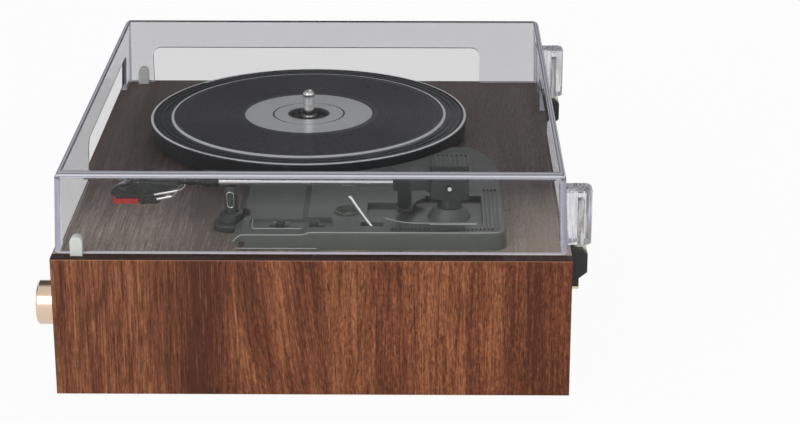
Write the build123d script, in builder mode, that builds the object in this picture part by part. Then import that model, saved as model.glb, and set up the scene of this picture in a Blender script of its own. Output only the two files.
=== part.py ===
from build123d import *
from math import atan, cos, degrees, radians, sin
import os

# Record player with a folded veneered case, a clear hinged lid, a belt-driven platter and
# a moulded tonearm unit. Millimetres. X runs to the player's right, Y to its back, Z up.
# The origin is on the floor, under the middle of the whole player with knob and hinges.

# Case
WIDTH = 330.0
DEPTH = 284.0
HEIGHT = 80.0
BOARD = 12.0
FOLD = 1.5
FOOT_REVEAL = 2.0
KNOB_OUT = 14.5
HINGE_OUT = 11.5
FRONT_RECESS = 2.0
FRONT = KNOB_OUT - (DEPTH + KNOB_OUT + HINGE_OUT) / 2
REAR = FRONT + DEPTH
DECK = FOOT_REVEAL + HEIGHT
UNDER_DECK = DECK - BOARD
INSIDE = WIDTH / 2 - BOARD
PANEL_BACK = FRONT + FRONT_RECESS + BOARD
REAR_INSIDE = REAR - BOARD

# Bottom cover, feet and corner blocks
COVER_Z = FOOT_REVEAL + 1.0
COVER_THICK = 3.0
BLOCK = 20.0
BLOCK_HIGH = 36.0
SCREW_R = 1.5
SCREW_HEAD_R = 3.0
SCREW_LENGTH = 16.0
FOOT_R = 10.0
FOOT_INSET = 32.0
VENT_SPACING = 9.0

# Front: loudspeakers and volume knob
SPEAKER_R = 29.5
SPEAKER_XS = {"left": -100.0, "right": 62.0}
SPEAKER_Z = 38.0
SLOT_ROWS = 6
SLOT_PITCH = 8.0
SLOT_HIGH = 3.6
SLOT_WIDE = 56.0
KNOB_X = 124.0
KNOB_Z = DECK - 42.0
KNOB_R = 12.6
KNOB_GAP = 0.8
SHAFT_R = 3.0
RUNNING = 0.05
BUSH_R = 3.8

# Rear sockets and amplifier board
JACK_X = 86.0
JACK_Z = 32.0
JACK_PLATE = (78.0, 30.0)
JACK_OPENING = (68.0, 20.0)
PHONO_SPACING = 14.0
PHONO_X = JACK_X - 22.0
HEADPHONE_X = JACK_X + 6.0
POWER_X = JACK_X + 24.0
BOARD_Z = JACK_Z - 7.5
BOARD_SIZE = (84.0, 52.0)

# Platter, spindle and drive
PLATTER_X = -48.0
PLATTER_Y = FRONT + 131.0
PLATTER_R = 99.0
PLATTER_TOP = DECK + 13.0
PLATTER_UNDER = DECK + 10.0
MAT_R = 86.0
MAT_TOP = DECK + 14.0
LABEL_R = 40.0
RING_R = 21.8
HUB_R = 13.0
SPINDLE_R = 3.55
SPINDLE_UP = 15.0
BEARING_R = 4.0
DRIVE_R = 70.0
PULLEY_R = 6.5
BELT_GAP = 0.1
BELT_THICK = 0.8
BELT_Z = DECK + 4.0
BELT_HIGH = 4.0
MOTOR_DISTANCE = 82.0
MOTOR_ANGLE = 145.0
MOTOR_X = PLATTER_X + MOTOR_DISTANCE * cos(radians(MOTOR_ANGLE))
MOTOR_Y = PLATTER_Y + MOTOR_DISTANCE * sin(radians(MOTOR_ANGLE))
MOTOR_R = 16.0
MOTOR_SCREW_SPACING = 40.0
SLEEVE_R = 8.0
FLANGE_R = 20.0

# Tonearm unit
ARM_X = 113.0
PIVOT_Y = FRONT + 217.5
ARM_Z = DECK + 27.5
TUBE_R = 2.75
STYLUS_Y = FRONT + 34.0
BASE_NEAR = 149.0
BASE_FAR = 5.0
BASE_CUT = 33.0
BASE_ROOM = 5.0
BASE_FRONT = FRONT + 104.6
BASE_REAR = FRONT + 249.0
BASE_STEP = FRONT + 135.2
BASE_LOW = 8.5
BASE_HIGH = 9.7
BASE_WALL = 3.0
LIP_OUT = 6.2
LIP_FAR = 58.0
WELL_R = 31.5
WELL_X = (87.5, 132.5)
WELL_Y = (FRONT + 148.0, FRONT + 236.0)
LIFT_BAY_X = (99.0, 121.0)
LIFT_BAY_Y = (FRONT + 171.5, FRONT + 190.0)
WELL_FLOOR = 7.0
PLATE_THICK = 2.4
RIB_DEEP = 0.8
RIB_PITCH = 2.2
RIB_LONG = 5.0
RIBS = 26
REAR_RIBS = 4
REAR_RIB_LONG = 68.0
BOSS_R = 12.3
BOSS_TOP = 13.3
SWITCH_X = 131.0
SPEED_Y = FRONT + 123.5
AUTOSTOP_Y = FRONT + 144.3
RECESS_Y = FRONT + 129.5
RECESS = (16.0, 46.0)
RECESS_DEEP = 1.2
REST_Y = FRONT + 95.0
REST_FLANGE_R = 10.2
TRANSPORT_Y = FRONT + 160.5
LEVER_X = 134.0
LEVER_Y = FRONT + 175.5
LEVER_Z = DECK + 5.6
LEVER_LENGTH = 24.5
LEVER_LEAN = 33.0
FINGER_IN = 21.0
FINGER_OUT = 29.0
LIFT_TOP = DECK + 12.2
SWING = 44.0
YOKE_WIDE = 22.0
YOKE_LOW = DECK + 20.5
YOKE_TOP = DECK + 37.5
CHEEK = 2.5
SHELL_FRONT = FRONT + 28.5
SHELL_REAR = FRONT + 68.0

# Lid
LID_INSET = 5.7
LID_FRONT = FRONT + 1.5
LID_REAR = REAR - 2.2
LID_GAP = 1.3
LID_TOP = DECK + 47.0
LID_WALL = 3.0
LID_DRAFT = 2.0
LID_CORNER = 5.0
LID_EDGE = 4.0
LID_FLOOR = DECK + LID_GAP
LID_HIGH = LID_TOP - LID_FLOOR
LID_X = WIDTH / 2 - LID_INSET
OPENING_TOP = DECK + 25.5
OPENING_CORNER = 6.0
SIDE_OPENING = 220.0
FRONT_OPENING = 178.0
REAR_OPENING = 92.0
TAB_LONG = 8.7
TAB_Y = [FRONT + 81.5, FRONT + 147.0, FRONT + 212.0]
TAB_LIFT = 0.3
BUMPER_Y = FRONT + 14.0

# Lid hinges
HINGE_X = 138.0
HINGE_WIDE = 15.0
HINGE_LOW = DECK + 2.0
HINGE_TOP = DECK + 33.0
AXIS_Y = REAR + 5.5
AXIS_Z = DECK - 4.0
KNUCKLE_R = 4.0
PIN_R = 1.5
TONGUE_WIDE = 8.0
TONGUE_THICK = 3.4
TONGUE_TOP = DECK + 27.0
BRACKET_DEEP = 9.5
BRACKET_LOW = DECK - 22.5

FRONT_PLANE = Plane.XZ.offset(-FRONT)
DECK_PLANE = Plane.XY.offset(DECK)

os.makedirs("parts", exist_ok=True)


def axial_plane(x, y, z):
    """Sketch plane whose local X is the radius and whose local Y runs to the back."""
    return Plane(origin=(x, y, z), x_dir=(1, 0, 0), z_dir=(0, 0, 1))


def upright_plane(x, y):
    """Sketch plane through a vertical axis: local X is the radius, local Y is the height."""
    return Plane(origin=(x, y, 0), x_dir=(1, 0, 0), z_dir=(0, -1, 0))


# Case: deck and two sides are one board folded at mitred corners
fold_mid = FOLD * (1 - cos(radians(45)))

with BuildPart() as deck_panel:
    with BuildSketch(FRONT_PLANE):
        with BuildLine():
            Line((0, DECK), (WIDTH / 2 - FOLD, DECK))
            CenterArc((WIDTH / 2 - FOLD, DECK - FOLD), FOLD, 45, 45)
            Polyline(
                (WIDTH / 2 - fold_mid, DECK - fold_mid),
                (WIDTH / 2 - BOARD, UNDER_DECK),
                (0, UNDER_DECK),
            )
            mirror(about=Plane.YZ)
        make_face()
    extrude(amount=-DEPTH)
    with BuildSketch(DECK_PLANE):
        with Locations((PLATTER_X, PLATTER_Y)):
            Circle(SLEEVE_R)
        with Locations((MOTOR_X, MOTOR_Y)):
            Circle(PULLEY_R + 3.5)
        with Locations(Location((MOTOR_X, MOTOR_Y), MOTOR_ANGLE)):
            with GridLocations(MOTOR_SCREW_SPACING, 0, 2, 1):
                Circle(SCREW_R)
        with Locations((ARM_X, PIVOT_Y)):
            Circle(8.0)
        with Locations((SWITCH_X, (SPEED_Y + AUTOSTOP_Y) / 2)):
            RectangleRounded(14, 44, 3)
        with Locations((ARM_X, TRANSPORT_Y)):
            Circle(1.6)
        with Locations((LEVER_X - 8, LEVER_Y + 12)):
            RectangleRounded(30, 26, 3)
    extrude(amount=-BOARD, mode=Mode.SUBTRACT)
deck_panel.part.label = "deck_panel"
export_step(deck_panel.part, "parts/deck_panel.step")

with BuildPart() as side_panel_right:
    with BuildSketch(FRONT_PLANE):
        with BuildLine():
            CenterArc((WIDTH / 2 - FOLD, DECK - FOLD), FOLD, 0, 45)
            Polyline(
                (WIDTH / 2 - fold_mid, DECK - fold_mid),
                (INSIDE, UNDER_DECK),
                (INSIDE, FOOT_REVEAL),
                (WIDTH / 2, FOOT_REVEAL),
                (WIDTH / 2, DECK - FOLD),
            )
        make_face()
    extrude(amount=-DEPTH)
side_panel_right.part.label = "side_panel_right"
export_step(side_panel_right.part, "parts/side_panel_right.step")

with BuildPart() as side_panel_left:
    mirror(side_panel_right.part, about=Plane.YZ)
side_panel_left.part.label = "side_panel_left"
export_step(side_panel_left.part, "parts/side_panel_left.step")

# Front baffle, set back between the sides, with sound slots and the knob's hole
PANEL_MID = (FOOT_REVEAL + UNDER_DECK) / 2
PANEL_HIGH = UNDER_DECK - FOOT_REVEAL

with BuildPart() as front_panel:
    with BuildSketch(Plane.XZ.offset(-FRONT - FRONT_RECESS)):
        with Locations((0, PANEL_MID)):
            Rectangle(2 * INSIDE, PANEL_HIGH)
        for speaker_x in SPEAKER_XS.values():
            with Locations((speaker_x, SPEAKER_Z)):
                with GridLocations(0, SLOT_PITCH, 1, SLOT_ROWS):
                    SlotOverall(SLOT_WIDE, SLOT_HIGH, mode=Mode.SUBTRACT)
        with Locations((KNOB_X, KNOB_Z)):
            Circle(BUSH_R, mode=Mode.SUBTRACT)
    extrude(amount=-BOARD)
front_panel.part.label = "front_panel"
export_step(front_panel.part, "parts/front_panel.step")

with BuildPart() as rear_panel:
    with BuildSketch(Plane.XZ.offset(-REAR_INSIDE)):
        with Locations((0, PANEL_MID)):
            Rectangle(2 * INSIDE, PANEL_HIGH)
        with Locations((JACK_X, JACK_Z)):
            RectangleRounded(JACK_OPENING[0], JACK_OPENING[1], 3, mode=Mode.SUBTRACT)
    extrude(amount=-BOARD)
rear_panel.part.label = "rear_panel"
export_step(rear_panel.part, "parts/rear_panel.step")

# Four glued blocks stiffen the corners and take the cover's screws
block_x = INSIDE - BLOCK / 2
block_front = PANEL_BACK + BLOCK / 2
block_rear = REAR_INSIDE - BLOCK / 2
block_places = [(x, y) for x in (-block_x, block_x) for y in (block_front, block_rear)]
cover_top = COVER_Z + COVER_THICK

with BuildPart() as corner_blocks:
    with BuildSketch(Plane.XY.offset(cover_top)):
        with Locations(block_places):
            Rectangle(BLOCK, BLOCK)
            Circle(SCREW_R, mode=Mode.SUBTRACT)
    extrude(amount=BLOCK_HIGH)
    chamfer(corner_blocks.edges().filter_by(Axis.Z).filter_by(GeomType.LINE), 1.0)
corner_blocks.part.label = "corner_blocks"
export_step(corner_blocks.part, "parts/corner_blocks.step")

with BuildPart() as bottom_cover:
    cover_mid = (PANEL_BACK + REAR_INSIDE) / 2
    cover_deep = REAR_INSIDE - PANEL_BACK
    with BuildSketch(Plane.XY.offset(COVER_Z)):
        with Locations((0, cover_mid)):
            RectangleRounded(2 * INSIDE - 1, cover_deep - 1, 3)
        with Locations((-60, cover_mid), (60, cover_mid)):
            with GridLocations(0, VENT_SPACING, 1, 8):
                SlotOverall(50, 3, mode=Mode.SUBTRACT)
    extrude(amount=COVER_THICK)
    with BuildSketch(Plane.XY.offset(cover_top)):
        with Locations((JACK_X, REAR_INSIDE - 4 - BOARD_SIZE[1] / 2)):
            with GridLocations(BOARD_SIZE[0] - 8, BOARD_SIZE[1] - 8, 2, 2):
                Circle(3.2)
    extrude(amount=BOARD_Z - cover_top)
    with Locations([Location((x, y, COVER_Z), (180, 0, 0)) for x, y in block_places]):
        CounterSinkHole(SCREW_R, SCREW_HEAD_R, depth=COVER_THICK)
bottom_cover.part.label = "bottom_cover"
export_step(bottom_cover.part, "parts/bottom_cover.step")

with BuildPart() as bottom_screws:
    for x, y in block_places:
        with BuildSketch(upright_plane(x, y)):
            with BuildLine():
                Polyline(
                    (0, COVER_Z + 0.2),
                    (SCREW_HEAD_R - 0.2, COVER_Z + 0.2),
                    (SCREW_R, COVER_Z + SCREW_HEAD_R - SCREW_R),
                    (SCREW_R, COVER_Z + SCREW_LENGTH - 2),
                    (0, COVER_Z + SCREW_LENGTH),
                    close=True,
                )
            make_face()
        revolve(axis=Axis((x, y, 0), (0, 0, 1)))
bottom_screws.part.label = "bottom_screws"
export_step(bottom_screws.part, "parts/bottom_screws.step")

foot_x = WIDTH / 2 - FOOT_INSET
for side, x in (("left", -foot_x), ("right", foot_x)):
    for end, y in (("front", FRONT + FOOT_INSET + 6), ("rear", REAR - FOOT_INSET - 6)):
        with BuildPart() as foot:
            with BuildSketch(Plane.XY.offset(COVER_Z)):
                with Locations((x, y)):
                    Circle(FOOT_R)
            extrude(amount=-COVER_Z, taper=8)
            fillet(foot.faces().sort_by(Axis.Z)[0].edges(), 0.5)
        foot.part.label = f"foot_{end}_{side}"
        export_step(foot.part, f"parts/foot_{end}_{side}.step")

# Loudspeakers: pressed basket with magnet, and the paper cone with its dust cap
for side, x in SPEAKER_XS.items():
    with BuildPart() as speaker:
        with BuildSketch(axial_plane(x, PANEL_BACK, SPEAKER_Z)):
            with BuildLine():
                Polyline(
                    (23, 0), (SPEAKER_R, 0), (SPEAKER_R, 1.6), (26, 1.6), (18, 13), (18, 24),
                    (0, 24), (0, 14), (12, 14), (23, 3), close=True,
                )
            make_face()
        revolve(axis=Axis((x, PANEL_BACK, SPEAKER_Z), (0, 1, 0)))
        with BuildSketch(Plane.XZ.offset(-PANEL_BACK - 2.5)):
            with Locations((x, SPEAKER_Z)):
                with PolarLocations(22.5, 4, 45):
                    Rectangle(6, 13)
        extrude(amount=-9, mode=Mode.SUBTRACT)
    speaker.part.label = f"speaker_{side}"
    export_step(speaker.part, f"parts/speaker_{side}.step")

    with BuildPart() as cone:
        with BuildSketch(axial_plane(x, PANEL_BACK, SPEAKER_Z)):
            with BuildLine():
                ThreePointArc((0, 4.6), (4.5, 5.6), (8, 8.4))
                Polyline((8, 8.4), (20, 1.6), (21.5, 0.6), (23, 1.0), (23, 2.2), (21, 2.2),
                         (8, 9.8), (0, 9.8), (0, 4.6))
            make_face()
        revolve(axis=Axis((x, PANEL_BACK, SPEAKER_Z), (0, 1, 0)))
    cone.part.label = f"speaker_cone_{side}"
    export_step(cone.part, f"parts/speaker_cone_{side}.step")

# Volume control: housing with a bush through the baffle, turning shaft, turned knob
POT_DEEP = 9.0
bush_front = FRONT - 1.6

with BuildPart() as volume_control:
    with BuildSketch(Plane.XZ.offset(-PANEL_BACK)):
        with Locations((KNOB_X, KNOB_Z)):
            RectangleRounded(17, 17, 3)
        with Locations((KNOB_X, KNOB_Z - 11)):
            Rectangle(13, 7)
    extrude(amount=-POT_DEEP)
    with BuildSketch(Plane.XZ.offset(-bush_front)):
        with Locations((KNOB_X, KNOB_Z)):
            Circle(BUSH_R)
    extrude(amount=-(PANEL_BACK - bush_front))
    with BuildSketch(Plane.XZ.offset(-FRONT - FRONT_RECESS)):
        with Locations((KNOB_X, KNOB_Z)):
            RegularPolygon(6.0, 6)
            Circle(BUSH_R, mode=Mode.SUBTRACT)
    extrude(amount=2.0)
    with BuildSketch(Plane.XZ.offset(-bush_front)):
        with Locations((KNOB_X, KNOB_Z)):
            Circle(SHAFT_R + RUNNING)
    extrude(amount=-(PANEL_BACK - bush_front + 5), mode=Mode.SUBTRACT)
volume_control.part.label = "volume_control"
export_step(volume_control.part, "parts/volume_control.step")

with BuildPart() as knob_shaft:
    with BuildSketch(Plane.XZ.offset(-(FRONT - KNOB_OUT + 2.5))):
        with Locations((KNOB_X, KNOB_Z)):
            Circle(SHAFT_R)
    extrude(amount=-(PANEL_BACK + 4.5 - (FRONT - KNOB_OUT + 2.5)))
knob_shaft.part.label = "knob_shaft"
export_step(knob_shaft.part, "parts/knob_shaft.step")

with BuildPart() as volume_knob:
    knob_front = FRONT - KNOB_OUT
    knob_back = FRONT + FRONT_RECESS - KNOB_GAP
    knob_axis = Axis((KNOB_X, knob_front, KNOB_Z), (0, 1, 0))
    knob_long = knob_back - knob_front
    with BuildSketch(axial_plane(KNOB_X, knob_front, KNOB_Z)):
        with BuildLine():
            Polyline(
                (0, 0.5), (9.6, 0.5), (10.2, 0), (KNOB_R - 1.0, 0), (KNOB_R, 1.0),
                (KNOB_R, knob_long - 0.6), (KNOB_R - 0.6, knob_long), (10.4, knob_long),
                (10.4, knob_long - 5), (5.2, knob_long - 5), (5.2, knob_long - 3.4),
                (SHAFT_R, knob_long - 3.4), (SHAFT_R, 2.5), (0, 2.5), close=True,
            )
        make_face()
    revolve(axis=knob_axis)
    with BuildSketch(Plane.XZ.offset(-knob_front)):
        with Locations((KNOB_X, KNOB_Z + KNOB_R - 3.5)):
            Rectangle(0.9, 4.5)
    extrude(amount=-1.1, mode=Mode.SUBTRACT)
volume_knob.part.label = "volume_knob"
export_step(volume_knob.part, "parts/volume_knob.step")

# Rear sockets on their plate, and the board that carries them
with BuildPart() as jack_plate:
    with BuildSketch(Plane.XZ.offset(-REAR)):
        with Locations((JACK_X, JACK_Z)):
            RectangleRounded(JACK_PLATE[0], JACK_PLATE[1], 4)
    extrude(amount=-1.6)
    fillet(jack_plate.faces().sort_by(Axis.Y)[-1].edges(), 0.6)
    with BuildSketch(Plane.XZ.offset(-REAR - 1.6)):
        with Locations((PHONO_X - PHONO_SPACING / 2, JACK_Z), (PHONO_X + PHONO_SPACING / 2, JACK_Z)):
            Circle(5.0)
        with Locations((HEADPHONE_X, JACK_Z)):
            Circle(3.9)
        with Locations((POWER_X, JACK_Z)):
            Circle(4.6)
        with Locations((JACK_X, JACK_Z)):
            with GridLocations(JACK_PLATE[0] - 6, 0, 2, 1):
                Circle(1.4)
    extrude(amount=1.6, mode=Mode.SUBTRACT)
jack_plate.part.label = "jack_plate"
export_step(jack_plate.part, "parts/jack_plate.step")

with BuildPart() as phono_sockets:
    for x in (PHONO_X - PHONO_SPACING / 2, PHONO_X + PHONO_SPACING / 2):
        with BuildSketch(axial_plane(x, REAR - 11, JACK_Z)):
            with BuildLine():
                Polyline(
                    (0, 0), (5.0, 0), (5.0, 13.2), (4.15, 13.2), (4.15, 21.2), (3.5, 21.6),
                    (1.65, 21.6), (1.65, 12), (0, 12), close=True,
                )
            make_face()
        revolve(axis=Axis((x, REAR, JACK_Z), (0, 1, 0)))
    with BuildSketch(Plane.XY.offset(BOARD_Z + 1.6)):
        with Locations((PHONO_X, REAR - 8)):
            Rectangle(PHONO_SPACING + 8, 6)
    extrude(amount=JACK_Z - BOARD_Z - 1.6)
phono_sockets.part.label = "phono_sockets"
export_step(phono_sockets.part, "parts/phono_sockets.step")

with BuildPart() as headphone_socket:
    with BuildSketch(Plane.XY.offset(BOARD_Z + 1.6)):
        with Locations((HEADPHONE_X, REAR - 7.5)):
            Rectangle(11, 15)
    extrude(amount=JACK_Z - BOARD_Z + 3.4)
    with BuildSketch(Plane.XZ.offset(-REAR)):
        with Locations((HEADPHONE_X, JACK_Z)):
            Circle(3.9)
    extrude(amount=-3.0)
    with BuildSketch(Plane.XZ.offset(-REAR - 3.0)):
        with Locations((HEADPHONE_X, JACK_Z)):
            Circle(1.8)
    extrude(amount=14.0, mode=Mode.SUBTRACT)
headphone_socket.part.label = "headphone_socket"
export_step(headphone_socket.part, "parts/headphone_socket.step")

with BuildPart() as power_inlet:
    with BuildSketch(Plane.XY.offset(BOARD_Z + 1.6)):
        with Locations((POWER_X, REAR - 7.5)):
            Rectangle(11, 15)
    extrude(amount=JACK_Z - BOARD_Z + 3.8)
    with BuildSketch(Plane.XZ.offset(-REAR)):
        with Locations((POWER_X, JACK_Z)):
            Circle(4.6)
    extrude(amount=-2.2)
    with BuildSketch(Plane.XZ.offset(-REAR - 2.2)):
        with Locations((POWER_X, JACK_Z)):
            Circle(2.9)
            Circle(1.0, mode=Mode.SUBTRACT)
    extrude(amount=11.0, mode=Mode.SUBTRACT)
power_inlet.part.label = "power_inlet"
export_step(power_inlet.part, "parts/power_inlet.step")

with BuildPart() as main_board:
    board_y = REAR_INSIDE - 4 - BOARD_SIZE[1] / 2
    with BuildSketch(Plane.XY.offset(BOARD_Z)):
        with Locations((JACK_X, board_y)):
            RectangleRounded(BOARD_SIZE[0], BOARD_SIZE[1], 2)
        with Locations((JACK_X, REAR_INSIDE + 2)):
            Rectangle(60, 16)
    extrude(amount=1.6)
    with BuildSketch(Plane.XY.offset(BOARD_Z + 1.6)):
        with Locations((JACK_X - 28, board_y - 6), (JACK_X - 14, board_y - 6)):
            Circle(5)
        with Locations((JACK_X + 6, board_y + 6)):
            Rectangle(16, 8)
    extrude(amount=11)
    with BuildSketch(Plane.XY.offset(BOARD_Z + 1.6)):
        with Locations((JACK_X + 10, board_y - 12)):
            Rectangle(30, 3)
            with GridLocations(5, 0, 6, 1):
                Rectangle(1.4, 10)
    extrude(amount=15)
main_board.part.label = "main_board"
export_step(main_board.part, "parts/main_board.step")

# Bearing: flanged sleeve on the deck with its screws
sleeve_low = DECK - 15.0
sleeve_top = DECK + 2.9

with BuildPart() as bearing_housing:
    with BuildSketch(upright_plane(PLATTER_X, PLATTER_Y)):
        with BuildLine():
            Polyline(
                (BEARING_R + RUNNING, sleeve_low), (SLEEVE_R, sleeve_low), (SLEEVE_R, DECK),
                (FLANGE_R, DECK), (FLANGE_R, DECK + 1.5), (9.5, DECK + 1.5), (7.0, sleeve_top),
                (BEARING_R + RUNNING, sleeve_top), close=True,
            )
        make_face()
    revolve(axis=Axis((PLATTER_X, PLATTER_Y, 0), (0, 0, 1)))
bearing_housing.part.label = "bearing_housing"
export_step(bearing_housing.part, "parts/bearing_housing.step")

with BuildPart() as spindle:
    spindle_top = MAT_TOP + SPINDLE_UP
    with BuildSketch(upright_plane(PLATTER_X, PLATTER_Y)):
        with BuildLine():
            Polyline(
                (0, sleeve_low - 4), (BEARING_R, sleeve_low - 4), (BEARING_R, sleeve_top + 0.3),
                (7.0, sleeve_top + 0.3), (7.0, DECK + 5), (BEARING_R, DECK + 5),
                (BEARING_R, PLATTER_TOP - 0.4), (SPINDLE_R, PLATTER_TOP - 0.4),
                (SPINDLE_R, spindle_top - 3.2),
            )
            ThreePointArc(
                (SPINDLE_R, spindle_top - 3.2), (2.7, spindle_top - 1.0), (0.9, spindle_top)
            )
            Polyline((0.9, spindle_top), (0, spindle_top), (0, sleeve_low - 4))
        make_face()
    revolve(axis=Axis((PLATTER_X, PLATTER_Y, 0), (0, 0, 1)))
spindle.part.label = "spindle"
export_step(spindle.part, "parts/spindle.step")

with BuildPart() as spindle_clip:
    with BuildSketch(Plane.XY.offset(sleeve_low - 2)):
        with Locations((PLATTER_X, PLATTER_Y)):
            Circle(6.5)
            Circle(BEARING_R, mode=Mode.SUBTRACT)
            with Locations((0, -5)):
                Rectangle(4.4, 6, mode=Mode.SUBTRACT)
    extrude(amount=1.2)
spindle_clip.part.label = "spindle_clip"
export_step(spindle_clip.part, "parts/spindle_clip.step")

# Platter: moulded disc with skirt, drive ring and ribs underneath
with BuildPart() as platter:
    with BuildSketch(upright_plane(PLATTER_X, PLATTER_Y)):
        with BuildLine():
            Polyline(
                (HUB_R, DECK + 5), (HUB_R + 3, DECK + 5), (HUB_R + 3, PLATTER_UNDER),
                (DRIVE_R - 2.5, PLATTER_UNDER), (DRIVE_R - 2.5, DECK + 3), (DRIVE_R, DECK + 3),
                (DRIVE_R, PLATTER_UNDER), (PLATTER_R - 3.5, PLATTER_UNDER),
                (PLATTER_R - 2.5, DECK + 2.5), (PLATTER_R - 0.8, DECK + 2.5),
                (PLATTER_R, PLATTER_TOP - 0.6),
            )
            ThreePointArc(
                (PLATTER_R, PLATTER_TOP - 0.6),
                (PLATTER_R - 1.2, PLATTER_TOP + 0.6),
                (PLATTER_R - 2.4, PLATTER_TOP - 0.6),
            )
            Polyline(
                (PLATTER_R - 2.4, PLATTER_TOP - 0.6), (PLATTER_R - 3, PLATTER_TOP - 0.6),
                (PLATTER_R - 3, PLATTER_TOP), (PLATTER_R - 5, PLATTER_TOP),
                (PLATTER_R - 5, PLATTER_TOP - 0.5), (PLATTER_R - 6.5, PLATTER_TOP - 0.5),
                (PLATTER_R - 6.5, PLATTER_TOP), (PLATTER_R - 8.5, PLATTER_TOP),
                (PLATTER_R - 8.5, PLATTER_TOP - 0.5), (PLATTER_R - 10, PLATTER_TOP - 0.5),
                (PLATTER_R - 10, PLATTER_TOP), (HUB_R, PLATTER_TOP), (HUB_R, DECK + 5),
            )
        make_face()
    revolve(axis=Axis((PLATTER_X, PLATTER_Y, 0), (0, 0, 1)))
    with BuildSketch(Plane.XY.offset(DECK + 6)):
        with Locations((PLATTER_X, PLATTER_Y)):
            with PolarLocations((HUB_R + DRIVE_R) / 2, 12):
                Rectangle(DRIVE_R - HUB_R - 4, 1.8)
    extrude(amount=PLATTER_UNDER - DECK - 6)
platter.part.label = "platter"
export_step(platter.part, "parts/platter.step")

with BuildPart() as platter_hub:
    with BuildSketch(upright_plane(PLATTER_X, PLATTER_Y)):
        with BuildLine():
            Polyline(
                (BEARING_R, DECK + 5), (HUB_R, DECK + 5), (HUB_R, PLATTER_TOP + 0.4),
                (HUB_R - 1.6, PLATTER_TOP + 0.4), (HUB_R - 2.6, PLATTER_TOP - 1.6),
                (BEARING_R + 2.4, PLATTER_TOP - 1.6), (BEARING_R + 1.8, PLATTER_TOP - 0.4),
                (BEARING_R, PLATTER_TOP - 0.4), close=True,
            )
        make_face()
    revolve(axis=Axis((PLATTER_X, PLATTER_Y, 0), (0, 0, 1)))
platter_hub.part.label = "platter_hub"
export_step(platter_hub.part, "parts/platter_hub.step")

# Mat: raised edge bead, two bands of ridges and a sunk label area
with BuildPart() as platter_mat:
    ridge_low = MAT_TOP - 0.4
    ridges = []
    for band_start, band_end in ((MAT_R - 6, 62), (58, LABEL_R + 2)):
        ridges += [(band_start, MAT_TOP), (band_start, ridge_low)]
        ridges += [(band_end, ridge_low), (band_end, MAT_TOP)]
    with BuildSketch(upright_plane(PLATTER_X, PLATTER_Y)):
        with BuildLine():
            Polyline(
                (HUB_R + 0.2, PLATTER_TOP), (MAT_R, PLATTER_TOP), (MAT_R, MAT_TOP - 0.7),
                (MAT_R - 0.7, MAT_TOP), *ridges, (LABEL_R, MAT_TOP), (LABEL_R, ridge_low),
                (RING_R + 0.6, ridge_low), (RING_R + 0.6, ridge_low - 0.3),
                (RING_R - 0.6, ridge_low - 0.3), (RING_R - 0.6, ridge_low),
                (HUB_R + 0.2, ridge_low), close=True,
            )
        make_face()
    revolve(axis=Axis((PLATTER_X, PLATTER_Y, 0), (0, 0, 1)))
platter_mat.part.label = "platter_mat"
export_step(platter_mat.part, "parts/platter_mat.step")

# Motor under the deck, brass pulley above it, flat belt round pulley and drive ring
motor_axis = Axis((MOTOR_X, MOTOR_Y, 0), (0, 0, 1))

with BuildPart() as motor:
    with BuildSketch(upright_plane(MOTOR_X, MOTOR_Y)):
        with BuildLine():
            Polyline(
                (1.55, UNDER_DECK - 12), (0, UNDER_DECK - 12), (0, UNDER_DECK - 28),
                (MOTOR_R - 1, UNDER_DECK - 28), (MOTOR_R, UNDER_DECK - 27),
                (MOTOR_R, UNDER_DECK), (5.0, UNDER_DECK), (5.0, UNDER_DECK + 3),
                (1.55, UNDER_DECK + 3), close=True,
            )
        make_face()
    revolve(axis=motor_axis)
    with BuildSketch(Plane.XY.offset(UNDER_DECK)):
        with Locations(Location((MOTOR_X, MOTOR_Y), MOTOR_ANGLE)):
            SlotOverall(MOTOR_SCREW_SPACING + 10, 12)
            with GridLocations(MOTOR_SCREW_SPACING, 0, 2, 1):
                Circle(SCREW_R, mode=Mode.SUBTRACT)
            Circle(5.0, mode=Mode.SUBTRACT)
    extrude(amount=-2)
motor.part.label = "motor"
export_step(motor.part, "parts/motor.step")

with BuildPart() as motor_screws:
    with BuildSketch(DECK_PLANE):
        with Locations(Location((MOTOR_X, MOTOR_Y), MOTOR_ANGLE)):
            with GridLocations(MOTOR_SCREW_SPACING, 0, 2, 1):
                Circle(SCREW_R)
    extrude(amount=-(BOARD + 3))
    with BuildSketch(DECK_PLANE):
        with Locations(Location((MOTOR_X, MOTOR_Y), MOTOR_ANGLE)):
            with GridLocations(MOTOR_SCREW_SPACING, 0, 2, 1):
                Circle(SCREW_HEAD_R)
    extrude(amount=1.2)
motor_screws.part.label = "motor_screws"
export_step(motor_screws.part, "parts/motor_screws.step")

with BuildPart() as motor_pulley:
    with BuildSketch(upright_plane(MOTOR_X, MOTOR_Y)):
        with BuildLine():
            Polyline((0, DECK + 8.6), (0, UNDER_DECK - 11.7), (1.5, UNDER_DECK - 11.7),
                     (1.5, DECK + 2.4), (PULLEY_R + 1.2, DECK + 2.4), (PULLEY_R + 1.2, DECK + 3.2),
                     (PULLEY_R - 0.4, DECK + 3.6))
            ThreePointArc((PULLEY_R - 0.4, DECK + 3.6), (PULLEY_R, DECK + 6), (PULLEY_R - 0.4, DECK + 8.4))
            Polyline((PULLEY_R - 0.4, DECK + 8.4), (PULLEY_R - 1, DECK + 8.6), (0, DECK + 8.6))
        make_face()
    revolve(axis=motor_axis)
motor_pulley.part.label = "motor_pulley"
export_step(motor_pulley.part, "parts/motor_pulley.step")

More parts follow.
